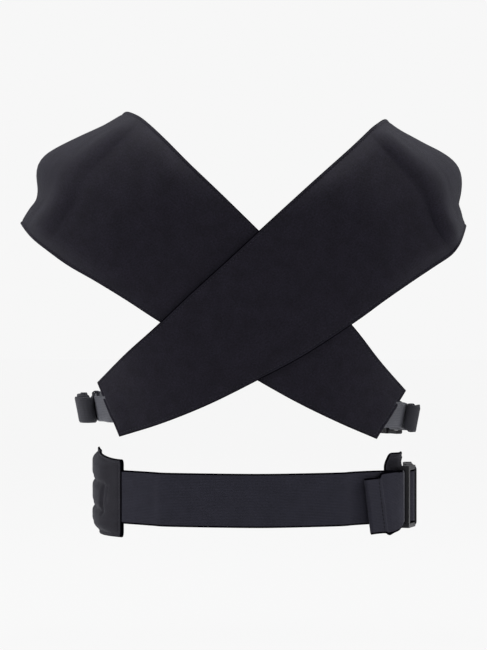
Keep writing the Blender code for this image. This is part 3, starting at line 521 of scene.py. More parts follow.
TWILL = fabric("strap_twill_look", (0.0062, 0.0054, 0.0092), twill, pitch=0.85, rough=0.9,
               sheen=0.03, bump=0.5, depth=0.18, mottled=0.22, grain=0.5)
LINING = fabric("lining_mesh_look", (0.011, 0.011, 0.0135), spacer_mesh, pitch=2.1, rough=0.9,
                sheen=0.03, bump=0.8, depth=0.25)
# Painted shade: a near-black outline for the rims and side faces of straps, wings, band and tabs,
# where their edges turn away from the light.
RIM_SHADE = fabric("painted_rim_shade_look", (0.0009, 0.0008, 0.0014), herringbone, pitch=1.1,
                 rough=0.95, sheen=0.0, bump=0.4, spec=0.0, light=(0.0018, 0.0017, 0.0025))
WING_CLOTH = fabric("wing_cloth_look", (0.0104, 0.0098, 0.0131), twill, pitch=0.85, rough=0.88,
                    sheen=0.04, bump=0.4, grain=0.25)
ELASTIC = fabric("elastic_look", (0.0128, 0.0126, 0.0188), corded, pitch=1.45, rough=0.85,
                 sheen=0.03, bump=0.7, depth=0.2, mottled=0.1)
# Pale grey for the strap webbing: painted light and reflection on the shiny webbing where it
# leaves the strap ends.
LIT_WEBBING = fabric("lit_webbing_look", (0.047, 0.048, 0.057), herringbone, pitch=1.5, rough=0.62,
                 sheen=0.06, bump=0.8, depth=0.26, mottled=0.08, spec=0.25)
DARK_WEBBING = fabric("dark_webbing_look", (0.0115, 0.0115, 0.0155), herringbone, pitch=1.5,
                      rough=0.7, sheen=0.04, bump=0.8, depth=0.26, mottled=0.08, spec=0.15)
# The left webbing tail: the same dark cloth as the right tail, lighter here as painted light on
# the left-hand roll.
LIT_TAIL_WEBBING = fabric("lit_tail_webbing_look", (0.025, 0.025, 0.031), herringbone, pitch=1.5,
                      rough=0.65, sheen=0.05, bump=0.8, depth=0.28, mottled=0.08, spec=0.2)
THREAD = thread("thread_look", (0.0095, 0.009, 0.0125), rough=0.75)
# Painted highlight: a paler copy of the elastic for the strip where the tail's fold turns round
# the ladder bar and catches the light.
FOLD_GLINT = fabric("painted_fold_highlight_look", (0.05, 0.05, 0.058), corded, pitch=1.45, rough=0.7,
                   sheen=0.05, bump=0.5, depth=0.1, mottled=0.1, spec=0.3)
# Near-black thread for the tail's hem stitching: real stitching, made this dark to paint the
# shadow of the hem's step.
HEM_SHADOW_THREAD = thread("painted_hem_shadow_thread_look", (0.002, 0.002, 0.003), rough=0.9)
# Black buckle plastic, darkened past its own tone as painted shade so the clips under the strap
# ends read as shadow; moulded() adds the painted edge highlight.
PLASTIC_SHADE_AND_GLINT = moulded("buckle_plastic_shade_and_glint_look", (0.0065, 0.0065, 0.0078), rough=0.42)


# ---- meshes ------------------------------------------------------------------------------------
def link_mesh(name, mesh):
    obj = bpy.data.objects.new(name, mesh)
    bpy.context.scene.collection.objects.link(obj)
    return obj


def hand_over(obj, slot, body, *nodes):
    """Registers a piece: the nodes it replaces and the body it rides on; slot is not used."""
    if nodes:
        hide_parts(*nodes)
    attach(obj, body)


def solid_sheet(name, outer, inner, uv, mats):
    """A closed piece from two grids of points and a grid of UVs. mats: outer, inner, rim."""
    nu, nv, _ = outer.shape
    n = nu * nv
    idx = np.arange(n).reshape(nu, nv)
    corners = [idx[:-1, :-1], idx[1:, :-1], idx[1:, 1:], idx[:-1, 1:]]
    front = np.stack(corners, -1).reshape(-1, 4)
    ring = []
    for r in (idx[:, 0][::-1], idx[:, -1], idx[0, :], idx[-1, :][::-1]):
        ring.append(np.stack([r[:-1], r[1:], r[1:] + n, r[:-1] + n], -1))
    faces = np.concatenate([front, front[:, ::-1] + n, np.concatenate(ring)])
    verts = np.concatenate([outer.reshape(-1, 3), inner.reshape(-1, 3)]) * MM
    # Faces turn outwards when the enclosed volume is positive.
    p = verts[faces]
    volume = 0.0
    for i, j in ((1, 2), (2, 3)):
        volume += float(np.einsum("ij,ij->i", p[:, 0], np.cross(p[:, i], p[:, j])).sum())
    if volume < 0:
        faces = faces[:, ::-1]
    mesh = bpy.data.meshes.new(name)
    mesh.from_pydata(verts.tolist(), [], faces.tolist())
    for m in mats:
        mesh.materials.append(m)
    index = np.zeros(len(faces), np.int32)
    index[len(front):2 * len(front)] = 1 if len(mats) > 1 else 0
    index[2 * len(front):] = 2 if len(mats) > 2 else 0
    mesh.polygons.foreach_set("material_index", index)
    layer = mesh.uv_layers.new(name="UVMap")
    flat = np.concatenate([uv.reshape(-1, 2)] * 2) * MM
    loops = np.zeros(len(mesh.loops), np.int32)
    mesh.loops.foreach_get("vertex_index", loops)
    layer.data.foreach_set("uv", flat[loops].astype(np.float32).ravel())
    mesh.shade_smooth()
    mesh.update()
    return link_mesh(name, mesh)


def normals_of(grid, sign=1.0):
    n = np.cross(np.gradient(grid, axis=0), np.gradient(grid, axis=1))
    return sign * n / np.linalg.norm(n, axis=-1, keepdims=True)


def lumps(grid, scale, seed):
    """Smooth noise at every point of a grid, about -1 to 1."""
    offset = Vector((seed * 13.7, seed * 5.1, seed * 9.3))
    values = [noise.noise(Vector(p / scale) + offset) for p in grid.reshape(-1, 3)]
    return np.array(values).reshape(grid.shape[:-1])


def vertex_places(mesh):
    co = np.zeros(len(mesh.vertices) * 3, np.float32)
    mesh.vertices.foreach_get("co", co)
    return co.reshape(-1, 3).astype(float)


def shade_faces(obj, mat, chosen):
    """Another material for the faces where chosen(along, across) holds, in mm on the UV map."""
    mesh = obj.data
    mesh.materials.append(mat)
    slot = len(mesh.materials) - 1
    uv = np.zeros(len(mesh.loops) * 2, np.float32)
    mesh.uv_layers[0].data.foreach_get("uv", uv)
    uv = uv.reshape(-1, 2) / MM
    for p in mesh.polygons:
        along, across = uv[p.loop_start:p.loop_start + p.loop_total].mean(axis=0)
        if chosen(along, across):
            p.material_index = slot


# One stitch: (share of its length, share of its radius, height).
STITCH = ((0.0, 0.25, -0.45), (0.12, 0.9, -0.02), (0.5, 1.0, 0.14),
          (0.88, 0.9, -0.02), (1.0, 0.25, -0.45))
STITCH_SIDES = 5
STITCH_LIFT = 0.05


def stitches(name, lines, mat=THREAD, length=2.5, gap=1.1, radius=0.3):
    """Rows of separate thread stitches. lines: (points, normals)."""
    verts, faces = [], []
    ring = STITCH_SIDES
    for points, normals in lines:
        points, normals = np.asarray(points, float), np.asarray(normals, float)
        s = running_length(points)
        if s[-1] < length:
            continue
        count = max(1, int(s[-1] / (length + gap)))
        step = s[-1] / count
        for k in range(count):
            start, end = k * step + gap / 2, (k + 1) * step - gap / 2
            run = sample(points, s, end) - sample(points, s, start)
            along = run / max(1e-9, np.linalg.norm(run))
            base = len(verts)
            for share, swell, height in STITCH:
                at = start + (end - start) * share
                p, up = sample(points, s, at), sample(normals, s, at)
                up = up / np.linalg.norm(up)
                side = np.cross(along, up)
                for q in range(ring):
                    a = 2 * math.pi * q / ring
                    rise = STITCH_LIFT + height + radius * swell * math.sin(a) * 0.8
                    verts.append((p + up * rise + side * radius * swell * math.cos(a)) * MM)
            for i in range(len(STITCH) - 1):
                r0 = base + i * ring
                for q in range(ring):
                    nxt = (q + 1) % ring
                    faces.append((r0 + q, r0 + nxt, r0 + ring + nxt, r0 + ring + q))
            faces.append(tuple(base + q for q in reversed(range(ring))))
            faces.append(tuple(base + (len(STITCH) - 1) * ring + q for q in range(ring)))
    mesh = bpy.data.meshes.new(name)
    mesh.from_pydata([tuple(v) for v in verts], [], faces)
    mesh.materials.append(mat)
    mesh.shade_smooth()
    return link_mesh(name, mesh)


# ---- padded pieces -----------------------------------------------------------------------------
def graded_rows(total, first, count):
    """Distances along a piece: close at both ends, even from first on."""
    inside = list(np.arange(first, total - first + 0.1, (total - 2 * first) / count))
    return EDGE + inside + [total - e for e in reversed(EDGE)]


def hem(rim):
    """Rounded fold, stitched groove and fullness behind it, 0 to 1, by distance from the rim."""
    fold = np.sqrt(np.clip(1 - (1 - np.clip(rim / FOLD_WIDTH, 0, 1)) ** 2, 0, 1))
    groove = np.exp(-(((rim - SEAM_INSET) / 0.62) ** 2))
    return fold, groove, ramp_array((rim - 4.0) / 6.0)


def paint_rim_shade(obj, rim, width):
    """Painted rim shade: the dark rim material on the outer faces nearer the rim than width."""
    near = (rim[:-1, :-1] + rim[1:, 1:]) / 2 < width
    for f in np.nonzero(near.reshape(-1))[0]:
        obj.data.polygons[int(f)].material_index = 2


def inflate(obj, pin, pressure, frames, grow, limit):
    """Cloth simulation: the free part of the outer face fills out under pressure, by limit at
    most. pin: hold on the outer grid, 0 to 1; the inner grid is held fast."""
    scene = bpy.context.scene
    rest = vertex_places(obj.data)
    pin = np.concatenate([pin.reshape(-1), np.ones(pin.size)])
    group = obj.vertex_groups.new(name="pin")
    for level in range(11):
        pick = np.nonzero(np.round(pin * 10).astype(int) == level)[0]
        if len(pick):
            group.add(pick.tolist(), level / 10, "REPLACE")
    m = obj.modifiers.new("Cloth", "CLOTH")
    c = m.settings
    c.quality = 4
    c.mass = 0.3
    c.tension_stiffness = 12
    c.compression_stiffness = 12
    c.shear_stiffness = 4
    c.bending_stiffness = 0.6
    c.tension_damping = c.compression_damping = 8
    c.air_damping = 3
    c.vertex_group_mass = "pin"
    c.pin_stiffness = 2.0
    c.use_pressure = True
    c.uniform_pressure_force = pressure
    c.shrink_min = -grow
    c.effector_weights.gravity = 0
    m.collision_settings.use_collision = False
    m.point_cache.frame_start, m.point_cache.frame_end = 1, frames + 2
    for f in range(1, frames + 1):
        scene.frame_set(f)
    swollen = vertex_places(obj.evaluated_get(bpy.context.evaluated_depsgraph_get()).data)
    obj.modifiers.remove(m)
    d = swollen - rest
    size = np.linalg.norm(d, axis=1, keepdims=True)
    d *= np.minimum(1.0, limit * MM / np.maximum(size, 1e-9))
    obj.data.vertices.foreach_set("co", (rest + d).astype(np.float32).ravel())
    obj.data.update()
    scene.frame_set(1)


def settled_face(obj, guide):
    """Outer grid of a padded piece in mm, and its normals on the side of guide."""
    outer = vertex_places(obj.data)[:guide.size // 3].reshape(guide.shape) / MM
    normals = normals_of(outer)
    return outer, normals if np.sum(normals * guide) > 0 else -normals


def smooth_surface(obj):
    m = obj.modifiers.new("Subdivision", "SUBSURF")
    m.levels = m.render_levels = 1


def border_lines(outer, normals):
    """Stitch lines along the four sides, on the seam row."""
    k = SEAM_ROW
    sides = ((slice(k, -k), k), (slice(k, -k), -1 - k), (k, slice(k, -k)), (-1 - k, slice(k, -k)))
    return [(outer[s], normals[s]) for s in sides]


# ---- straps ------------------------------------------------------------------------------------
def strap_grid(side):
    """Grid of the strap's inner face, with the measures its relief is built from."""
    fine = np.linspace(0, LAST, 901)
    s_fine = running_length(np.array([strap_point(side, t, 0.5) for t in fine]))
    total = s_fine[-1]
    rows = np.array(graded_rows(total, first=14.5, count=128))
    stations = np.interp(rows, s_fine, fine)
    width = np.array([(strap_point(side, t, 1.0) - strap_point(side, t, 0.0)).length
                      for t in stations])
    width = np.convolve(np.pad(width, 3, mode="edge"), np.ones(7) / 7, "valid")
    middle_columns = 15
    columns = 2 * len(EDGE) + middle_columns
    points = np.zeros((len(rows), columns, 3))
    v = np.zeros((len(rows), columns))
    # Points across are computed at fixed shares, and the columns are read off them.
    shares = np.linspace(0, 1, 61)
    table = np.array([[strap_point(side, t, share) for share in shares] for t in stations])
    for i in range(len(rows)):
        edge = np.array(EDGE) / width[i]
        middle = np.linspace(edge[-1], 1 - edge[-1], middle_columns + 2)[1:-1]
        v[i] = np.concatenate([edge, middle, 1 - edge[::-1]])
        for k in range(3):
            points[i, :, k] = np.interp(v[i], shares, table[i, :, k])
    side_gap = np.minimum(v, 1 - v) * width[:, None]
    along = np.broadcast_to(rows[:, None], v.shape)
    return SimpleNamespace(
        points=points, v=v, side_gap=side_gap, along=along,
        rim=np.minimum(side_gap, np.minimum(along, total - along)),
        station=np.broadcast_to(stations[:, None], v.shape),
        offset=(v - 0.5) * width[:, None])


def strap_relief(side, g):
    """Heights of the outer and inner faces over the inner-face curve, and the padding's share."""
    fold, groove, grown = hem(g.rim)
    pad = (ramp_array((g.station - 5.7) / 2.2) * ramp_array((LAST - 0.15 - g.station) / 0.9)
           * ramp_array((g.side_gap - 3.9) / 17.0) ** 0.8)
    web = np.exp(-((g.offset / 12.5) ** 8)) * ramp_array((26 - g.along) / 5.0)
    soft = lumps(g.points, 46.0, 1 if side == "left" else 2)
    small = lumps(g.points, 15.0, 3 if side == "left" else 4)
    outer = (1.0 + 1.5 * fold - 0.75 * groove + 0.5 * grown + 1.3 * web * (0.3 + 0.7 * fold)
             + pad * 6.0 + grown * (0.35 * soft + 0.14 * small)
             + pad * (0.55 * soft + 0.25 * small))
    if side == "left":
        # a wavy crease across the lower part
        crease = (g.station - 2.27 + 0.1 * np.sin(g.offset / 14.0)) / 0.085
        outer -= (0.75 * np.exp(-(crease ** 2))
                  * ramp_array((g.v - 0.12) / 0.2) * ramp_array((0.88 - g.v) / 0.12))
    # dents where the padding bends over the shoulder
    over = np.exp(-(((g.station - 10.6) / 1.1) ** 2)) * pad
    outer += over * (0.22 * np.sin(g.along / 5.1 + 2.0 * np.sin(g.offset / 26.0))
                     * ramp_array((np.abs(g.offset) - 12) / 35))
    inner = 1.0 - 0.95 * fold + 0.10 * groove - 0.25 * pad * (1 + small)
    return outer, inner, pad


def strap_piece(side):
    g = strap_grid(side)
    normals = normals_of(g.points, STRAPS[side].facing)
    high, low, pad = strap_relief(side, g)
    body = side + "_strap"
    obj = solid_sheet(body, g.points + normals * high[..., None],
                      g.points + normals * low[..., None],
                      np.stack([g.along, g.offset], -1), [TWILL, LINING, RIM_SHADE])
    # dark painted rim shade along the strap's edges
    paint_rim_shade(obj, g.rim, FOLD_WIDTH)
    inflate(obj, 1.0 - 0.97 * pad * ramp_array((g.side_gap - 6.0) / 6.0),
            pressure=5.5, frames=16, grow=0.03, limit=3.0)
    outer, outer_normals = settled_face(obj, normals)
    smooth_surface(obj)
    hand_over(obj, "strap_twill", body, body + "_shell", body + "_lining", body + "_pad")
    sewn = stitches(body + "_stitching", border_lines(outer, outer_normals))
    hand_over(sewn, "strap_twill", body)


strap_piece("left")
strap_piece("right")


# ---- tapes -------------------------------------------------------------------------------------
def uniform(points, across, half_width, thick):
    return [(p, across, half_width, thick) for p in points]


def tape(name, stations, mats, sub=4, cols=13, square=True):
    """Tape with rounded selvedges on a smooth curve. stations: (point, direction across, half
    width, thickness); sub: most rows from one to the next; square: rows stand square to the
    curve. Returns the object and its centre line."""
    points = [Vector(st[0]) for st in stations]
    sideways = [Vector(st[1]).normalized() for st in stations]
    rows = []
    for i in range(len(stations) - 1):
        half0, thick0 = stations[i][2:]
        half1, thick1 = stations[i + 1][2:]
        steps = max(1, min(sub, int((points[i + 1] - points[i]).length / 1.2 + 1)))
        for k in range(steps):
            f = k / steps
            rows.append((catmull(points, i + f), sideways[i].lerp(sideways[i + 1], f),
                         lerp(half0, half1, f), lerp(thick0, thick1, f)))
    rows.append((points[-1], sideways[-1], *stations[-1][2:]))
    centre = np.array([r[0] for r in rows])
    tangent = np.gradient(centre, axis=0)
    tangent /= np.linalg.norm(tangent, axis=1, keepdims=True)
    across = np.array([r[1] for r in rows])
    if square:
        across -= tangent * np.einsum("ij,ij->i", across, tangent)[:, None]
    across /= np.linalg.norm(across, axis=1, keepdims=True)
    normal = np.cross(tangent, across)
    normal /= np.linalg.norm(normal, axis=1, keepdims=True)
    half = np.array([r[2] for r in rows])[:, None]
    half_thick = np.array([r[3] for r in rows])[:, None] / 2
    column = np.linspace(-1, 1, cols)
    column = np.sign(column) * np.abs(column) ** 0.75
    x = column[None, :] * half
    selvedge = np.clip((np.abs(x) - (half - half_thick)) / half_thick, 0, 1)
    z = half_thick * np.sqrt(1 - 0.97 * selvedge ** 2)
    s = running_length(centre)
    end = np.clip(np.minimum(s, s[-1] - s) / 0.6, 0, 1)[:, None]
    z = z * (0.55 + 0.45 * end)
    base = centre[:, None, :] + across[:, None, :] * x[..., None]
    rise = normal[:, None, :] * z[..., None]
    uv = np.stack([np.broadcast_to(s[:, None], x.shape), x], -1)
    obj = solid_sheet(name, base + rise, base - rise, uv, mats)
    return obj, SimpleNamespace(centre=centre, across=across, normal=normal, s=s)


def tape_line(line, at, offsets, rise):
    """Stitch line across a tape at one length, at the given offsets, rise above its middle."""
    p, across, normal = (sample(a, line.s, at) for a in (line.centre, line.across, line.normal))
    points = [p + across * x + normal * rise for x in offsets]
    return np.array(points), np.array([normal * (1 if rise > 0 else -1)] * len(points))


def length_at(line, point):
    """Length along a tape at which it passes a point."""
    return float(line.s[np.argmin(np.linalg.norm(line.centre - np.array(point), axis=1))])


# ---- belt band ---------------------------------------------------------------------------------
BAND_WIDEN = 1.03               # width of the cloth over the laid-out width
# From the left wing to the spine, and on to the right: angle on the waist, off it, z.
BAND_LEFT = ((-55.3, 2.3, 1.6), (-53.3, 2.3, 1.6), (-50.4, 2.3, 1.6), (-45.5, 1.7, 1.5),
             (-40.0, 1.0, 1.3), (-33.0, 1.0, 0.9), (-25.0, 1.0, 0.4))
BAND_RIGHT = ((30.0, 1.0, 0.5), (38.0, 1.2, 1.0), (46.0, 3.0, 1.3), (51.0, 5.2, 1.3),
              (58.0, 8.6, 1.1))
BAND_SPINE = ((-20.0, -1.0, 0), (20.0, -1.0, 0))
BAND_TO_LADDER = ((131.0, 40.4, 0.7), (136.7, 45.6, 0.3))
# The tail back from the ladder: point, share of the tail's own tilt and width.
TAIL_TURN = (((140.3, 44.6, -1.2), 0.35), ((135.3, 38.4, -2.6), 0.8), ((129.0, 32.7, -3.9), 1.0))
# and its doubled end: point, thickness, half width.
TAIL_END = (((126.0, 30.55, -4.4), 2.0, 29.0), ((124.3, 29.35, -4.7), 2.0, 29.0),
            ((123.2, 28.57, -5.0), 2.4, 28.6), ((122.2, 27.87, -5.6), 4.0, 27.2),
            ((121.0, 27.02, -6.0), 4.2, 26.6), ((119.0, 25.65, -6.2), 4.2, 26.3),
            ((114.0, 22.2, -6.4), 4.2, 26.2), ((107.0, 17.2, -6.9), 4.2, 26.2))
TAIL_ACROSS = Vector((-0.118, 0.0, 0.993))
HEM_BACK = 15.6                 # hem stitching, from the end of the tail


def band_stations():
    points = [on_waist(*q) for q in BAND_LEFT]
    points += BAND_SPINE
    points += [on_waist(*q) for q in BAND_RIGHT]
    points += BAND_TO_LADDER
    points += ladder_run(BELT, belt_ladder)
    stations = uniform(points, Z, BAND_WIDTH / 2 * BAND_WIDEN, BAND_THICK)
    for p, f in TAIL_TURN:
        half = lerp(BAND_WIDTH, TAIL_WIDTH, f) / 2 * BAND_WIDEN
        stations.append((p, Z.lerp(TAIL_ACROSS, f), half, BAND_THICK))
    for p, thick, half in TAIL_END:
        stations.append((p, TAIL_ACROSS, half * BAND_WIDEN, thick))
    return stations


def hand_over_band(obj):
    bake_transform(obj)


def belt_band():
    stations = band_stations()
    band, line = tape("belt_band_elastic", stations, [ELASTIC] * 3, sub=6, cols=25, square=False)
    at = [length_at(line, Vector(st[0])) for st in stations]
    limits = [st[2] - 1.0 for st in stations]
    # The band's selvedges take the painted rim shade, a dark outline.
    shade_faces(band, RIM_SHADE, lambda s, x: abs(x) > np.interp(s, at, limits))
    fold = at[-1 - len(TAIL_TURN) - len(TAIL_END)]
    # Painted highlight on the fold where the tail turns back.
    shade_faces(band, FOLD_GLINT, lambda s, x: fold - 1.4 < s < fold + 1.5)
    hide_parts("belt_band")
    hand_over_band(band)
    offsets = np.linspace(-TAIL_WIDTH / 2 + 1.5, TAIL_WIDTH / 2 - 1.5, 24) * 0.97
    lines = [tape_line(line, line.s[-1] - HEM_BACK, offsets, rise) for rise in (2.1, -2.1)]
    # Hem stitching in the near-black thread that paints the shadow of the hem's step.
    hand_over_band(stitches("belt_tail_stitching", lines, HEM_SHADOW_THREAD, length=3.4, gap=0.3))


belt_band()


# ---- wings -------------------------------------------------------------------------------------
def wing_z(wing, u, v):
    """Height at u (0 rear to 1 front) and v (0 bottom to 1 top)."""
    top = lerp(*wing.top, ramp((u - wing.top_from) / (1 - wing.top_from)))
    return lerp(lerp(*wing.bottom, ramp(u)), top, v)


def wing_flare(wing, u, z):
    """Outward lean of the upper rim."""
    return (wing.flare * ramp((z - 31.3) / 6.5)
            * ramp((u + 0.08) / 0.3) * ramp((0.85 - u) / 0.3))


def wing_grid(wing):
    """Grid of the wing's inner face round the waist, outward directions and measures."""
    fine = np.linspace(0, 1, 301)
    s_fine = running_length(np.array([list(waist(lerp(*wing.angles, u))) for u in fine]))
    total = s_fine[-1]
    rows = graded_rows(total, first=12.5, count=44)
    us = np.interp(rows, s_fine, fine)
    height = (wing.top[0] - wing.bottom[0] + wing.top[1] - wing.bottom[1]) / 2
    edge = [e / height for e in EDGE]
    vs = np.array(edge + list(np.linspace(edge[-1], 1 - edge[-1], 32)[1:-1])
                  + [1 - e for e in reversed(edge)])
    points = np.zeros((len(us), len(vs), 3))
    normals = np.zeros(points.shape)
    for i, u in enumerate(us):
        for j, v in enumerate(vs):
            z = wing_z(wing, u, v)
            # rounded rear corners: the rear end is pulled forward near the top and bottom
            into = max(0.0, wing.corner - min(v, 1 - v) * height) / wing.corner
            pull = wing.reach * (1 - math.sqrt(max(0.0, 1 - into ** 2)))
            pull *= max(0.0, 1 - rows[i] / 40.0)
            phi = lerp(*wing.angles, u + pull / total)
            q = waist(phi)
            out = waist(phi, 1.0) - q
            lean = wing_flare(wing, u, z)
            points[i, j] = (q.x + out.x * lean, q.y + out.y * lean, z)
            normals[i, j] = (out.x, out.y, 0)
    along = np.broadcast_to(np.array(rows)[:, None], points.shape[:2])
    side_gap = np.minimum(vs, 1 - vs)[None, :] * height * np.ones((len(us), 1))
    return SimpleNamespace(points=points, normals=normals, rows=rows, along=along,
                           z=points[..., 2],
                           rim=np.minimum(side_gap, np.minimum(along, total - along)))


def seam_z(level, s):
    """Height of a long seam, slightly rising towards the front."""
    return level + (s - 40) * 0.012


def wing_relief(wing, g):
    """Heights of the outer and inner faces, the padding's share and what the seams leave of it."""
    fold, groove, grown = hem(g.rim)
    edge_at, edge_run = wing.pad_edge
    rear_at, rear_run = wing.pad_rear
    pad = (ramp_array((g.rim - edge_at) / edge_run) ** 0.7
           * ramp_array((g.along - rear_at) / rear_run))
    cut = np.ones_like(g.rim)
    for level in wing.seams:
        seam = np.exp(-(((g.z - seam_z(level, g.along)) / 3.0) ** 2))
        cut *= 1 - 0.62 * seam * ramp_array((g.along - 21.0) / 8.0)
    for at, top, bottom, depth in wing.rows:
        inside = ramp_array((g.z - bottom + 3) / 4) * ramp_array((top + 3 - g.z) / 4)
        gap = (g.along - at + (g.z - top) * 0.12) / 2.0
        cut *= 1 - depth * np.exp(-(gap ** 2)) * inside
    soft = lumps(g.points, 22.0, wing.lump_seed)
    rear = wing.rear_height * ramp_array((36 - g.along) / 28.0)
    outer = (1.0 + 1.5 * fold - 0.7 * groove + 0.4 * grown + rear * np.clip(fold, 0.35, 1)
             + pad * wing.pad_height * cut + grown * 0.35 * soft)
    return outer, 1.0 - 0.95 * fold, pad, cut


def wing_seam_lines(wing, g, outer, normals):
    """Stitch lines of the long seams and the short upright rows."""
    nu, nv = outer.shape[:2]
    lines = []
    for level in wing.seams:
        points, ups = [], []
        for i in range(SEAM_ROW + 6, nu - 1 - SEAM_ROW - 2):
            column = float(np.interp(seam_z(level, g.rows[i]), g.z[i], np.arange(nv)))
            j, f = int(column), column - int(column)
            points.append(outer[i, j] * (1 - f) + outer[i, j + 1] * f)
            ups.append(normals[i, j])
        lines.append((points, ups))
    for at, top, bottom, _ in wing.rows:
        points, ups = [], []
        for z in np.linspace(top, bottom, 14):
            row = float(np.interp(at - (z - top) * 0.12, g.rows, np.arange(nu)))
            i, fi = int(row), row - int(row)
            column = float(np.interp(z, g.z[i], np.arange(nv)))
            j, fj = int(column), column - int(column)
            for grid, found in ((outer, points), (normals, ups)):
                rear = grid[i, j] * (1 - fj) + grid[i, j + 1] * fj
                front = grid[i + 1, j] * (1 - fj) + grid[i + 1, j + 1] * fj
                found.append(rear * (1 - fi) + front * fi)
        lines.append((points, ups))
    return lines


def wing_piece(side, body):
    wing = WINGS[side]
    g = wing_grid(wing)
    high, low, pad, cut = wing_relief(wing, g)
    name = side + "_wing"
    obj = solid_sheet(name, g.points + g.normals * high[..., None],
                      g.points + g.normals * low[..., None],
                      np.stack([g.along, g.z], -1), [WING_CLOTH, LINING, RIM_SHADE])
    # dark painted rim shade along the wing's edges
    paint_rim_shade(obj, g.rim, 0.8)
    inflate(obj, 1.0 - 0.97 * pad * cut * ramp_array((g.rim - 5) / 4),
            pressure=4.0, frames=14, grow=0.02, limit=1.1)
    outer, normals = settled_face(obj, g.normals)
    smooth_surface(obj)
    hand_over(obj, "wing_cloth", body, name + "_cover", name + "_pad", name + "_lining")
    lines = border_lines(outer, normals) + wing_seam_lines(wing, g, outer, normals)
    hand_over(stitches(name + "_stitching", lines), "wing_cloth", body)


wing_piece("left", "waist_belt")
wing_piece("right", "right_wing")


# ---- loop between the belt socket and the right wing -------------------------------------------
WING_FACE = 9.4                 # the wing's outer face, off the waist


def wing_anchor():
    points = [on_waist(phi, WING_FACE + 1.6, 0) for phi in (105.5, 101.5, 98.5)]
    points += end_bar_loop(BELT, belt_place, [(3.0, -3.5)], [(4.0, 2.4)])
    points += [on_waist(phi, WING_FACE + 4.2, 0) for phi in (99.5, 102.0, 105.0)]
    obj, line = tape("wing_anchor_webbing", uniform(points, Z, BAND_WIDTH / 2, BAND_THICK),
                     [DARK_WEBBING] * 3, sub=5, cols=17)
    hand_over(obj, "webbing", "right_wing", "wing_anchor_loop")
    lines = [tape_line(line, line.s[-1] - back, np.linspace(-23, 23, 20), 1.05)
             for back in (2.5, 8.5)]
    sewn = stitches("wing_anchor_stitching", lines, length=2.0, gap=0.8)
    hand_over(sewn, "webbing", "right_wing")


wing_anchor()

# ---- strap webbing and clips -------------------------------------------------------------------
# strap: the one that ends on this side. bar, along, width: place of the clip's main bar.
# low: where across the strap the webbing leaves. lean: sign of its tilt.
# out, back: webbing from the strap to the ladder, and from the ladder to the coil.
CLIPS = {
    "left": SimpleNamespace(
        strap="right", bar=(-145.0, 134.0, 89.0), along=(0.45, 0.89, 0.0), width=(0, 0, -1),
        # its tail in the lighter copy: painted light on this side
        lean=-1, low=0.58, tail=LIT_TAIL_WEBBING,
        out=[(-149.0, 43.5, 86.0), (-152.6, 50.0, 85.8), (-154.6, 61.0, 85.4),
             (-155.9, 72.0, 85.6), (-157.3, 84.0, 86.5), (-157.4, 94.0, 87.3),
             (-156.2, 104.0, 88.2)],
        back=[(-158.3, 104.3, 88.2), (-159.5, 94.0, 87.3), (-159.5, 84.0, 86.5),
              (-157.9, 72.0, 85.8)],
        coil=dict(centre=(-166.7, 62.5, 85.8), radii=(8.1, 8.1), turns=2.4, steps=34,
                  rise=(-1.6, 3.2))),
    "right": SimpleNamespace(
        strap="left", bar=(137.0, 124.0, 75.0), along=(-0.45, 0.89, 0.0), width=(0, 0, 1),
        lean=1, low=0.59, tail=DARK_WEBBING,
        out=[(138.3, 28.5, 80.6), (142.0, 34.0, 79.6), (145.5, 44.0, 78.0),
             (149.4, 57.0, 76.7), (151.9, 69.0, 76.1), (152.6, 80.0, 75.8),
             (151.3, 94.0, 75.6)],
        back=[(153.4, 94.2, 75.6), (154.7, 80.0, 75.8), (155.4, 66.0, 76.4),
              (156.8, 54.0, 77.4)],
        coil=dict(centre=(149.7, 35.6, 77.6), radii=(7.7, 4.6), turns=1.3, steps=22,
                  turn=math.radians(45), slope=0.28)),
}
WEB_LEAN = math.radians(11.0)
COIL_PITCH = 2.1


def coil(centre, radii, turns, steps, turn=0.0, rise=(0.0, 0.0), slope=0.0):
    """Clockwise spiral in plan, wound inwards from its side nearest the wearer's right. turn:
    of the whole in plan; rise: height at its start and end; slope: fall towards that side."""
    a, b = radii
    c, s = math.cos(turn), math.sin(turn)
    points = []
    for i in range(steps + 1):
        angle = -2 * math.pi * turns * i / steps
        shrink = COIL_PITCH * turns * i / steps
        x, y = (a - shrink) * math.cos(angle), (b - shrink * b / a) * math.sin(angle)
        across = x * c - y * s
        points.append(Vector((centre[0] + across, centre[1] + x * s + y * c,
                              centre[2] + lerp(*rise, ramp(i / steps)) - slope * across)))
    return points


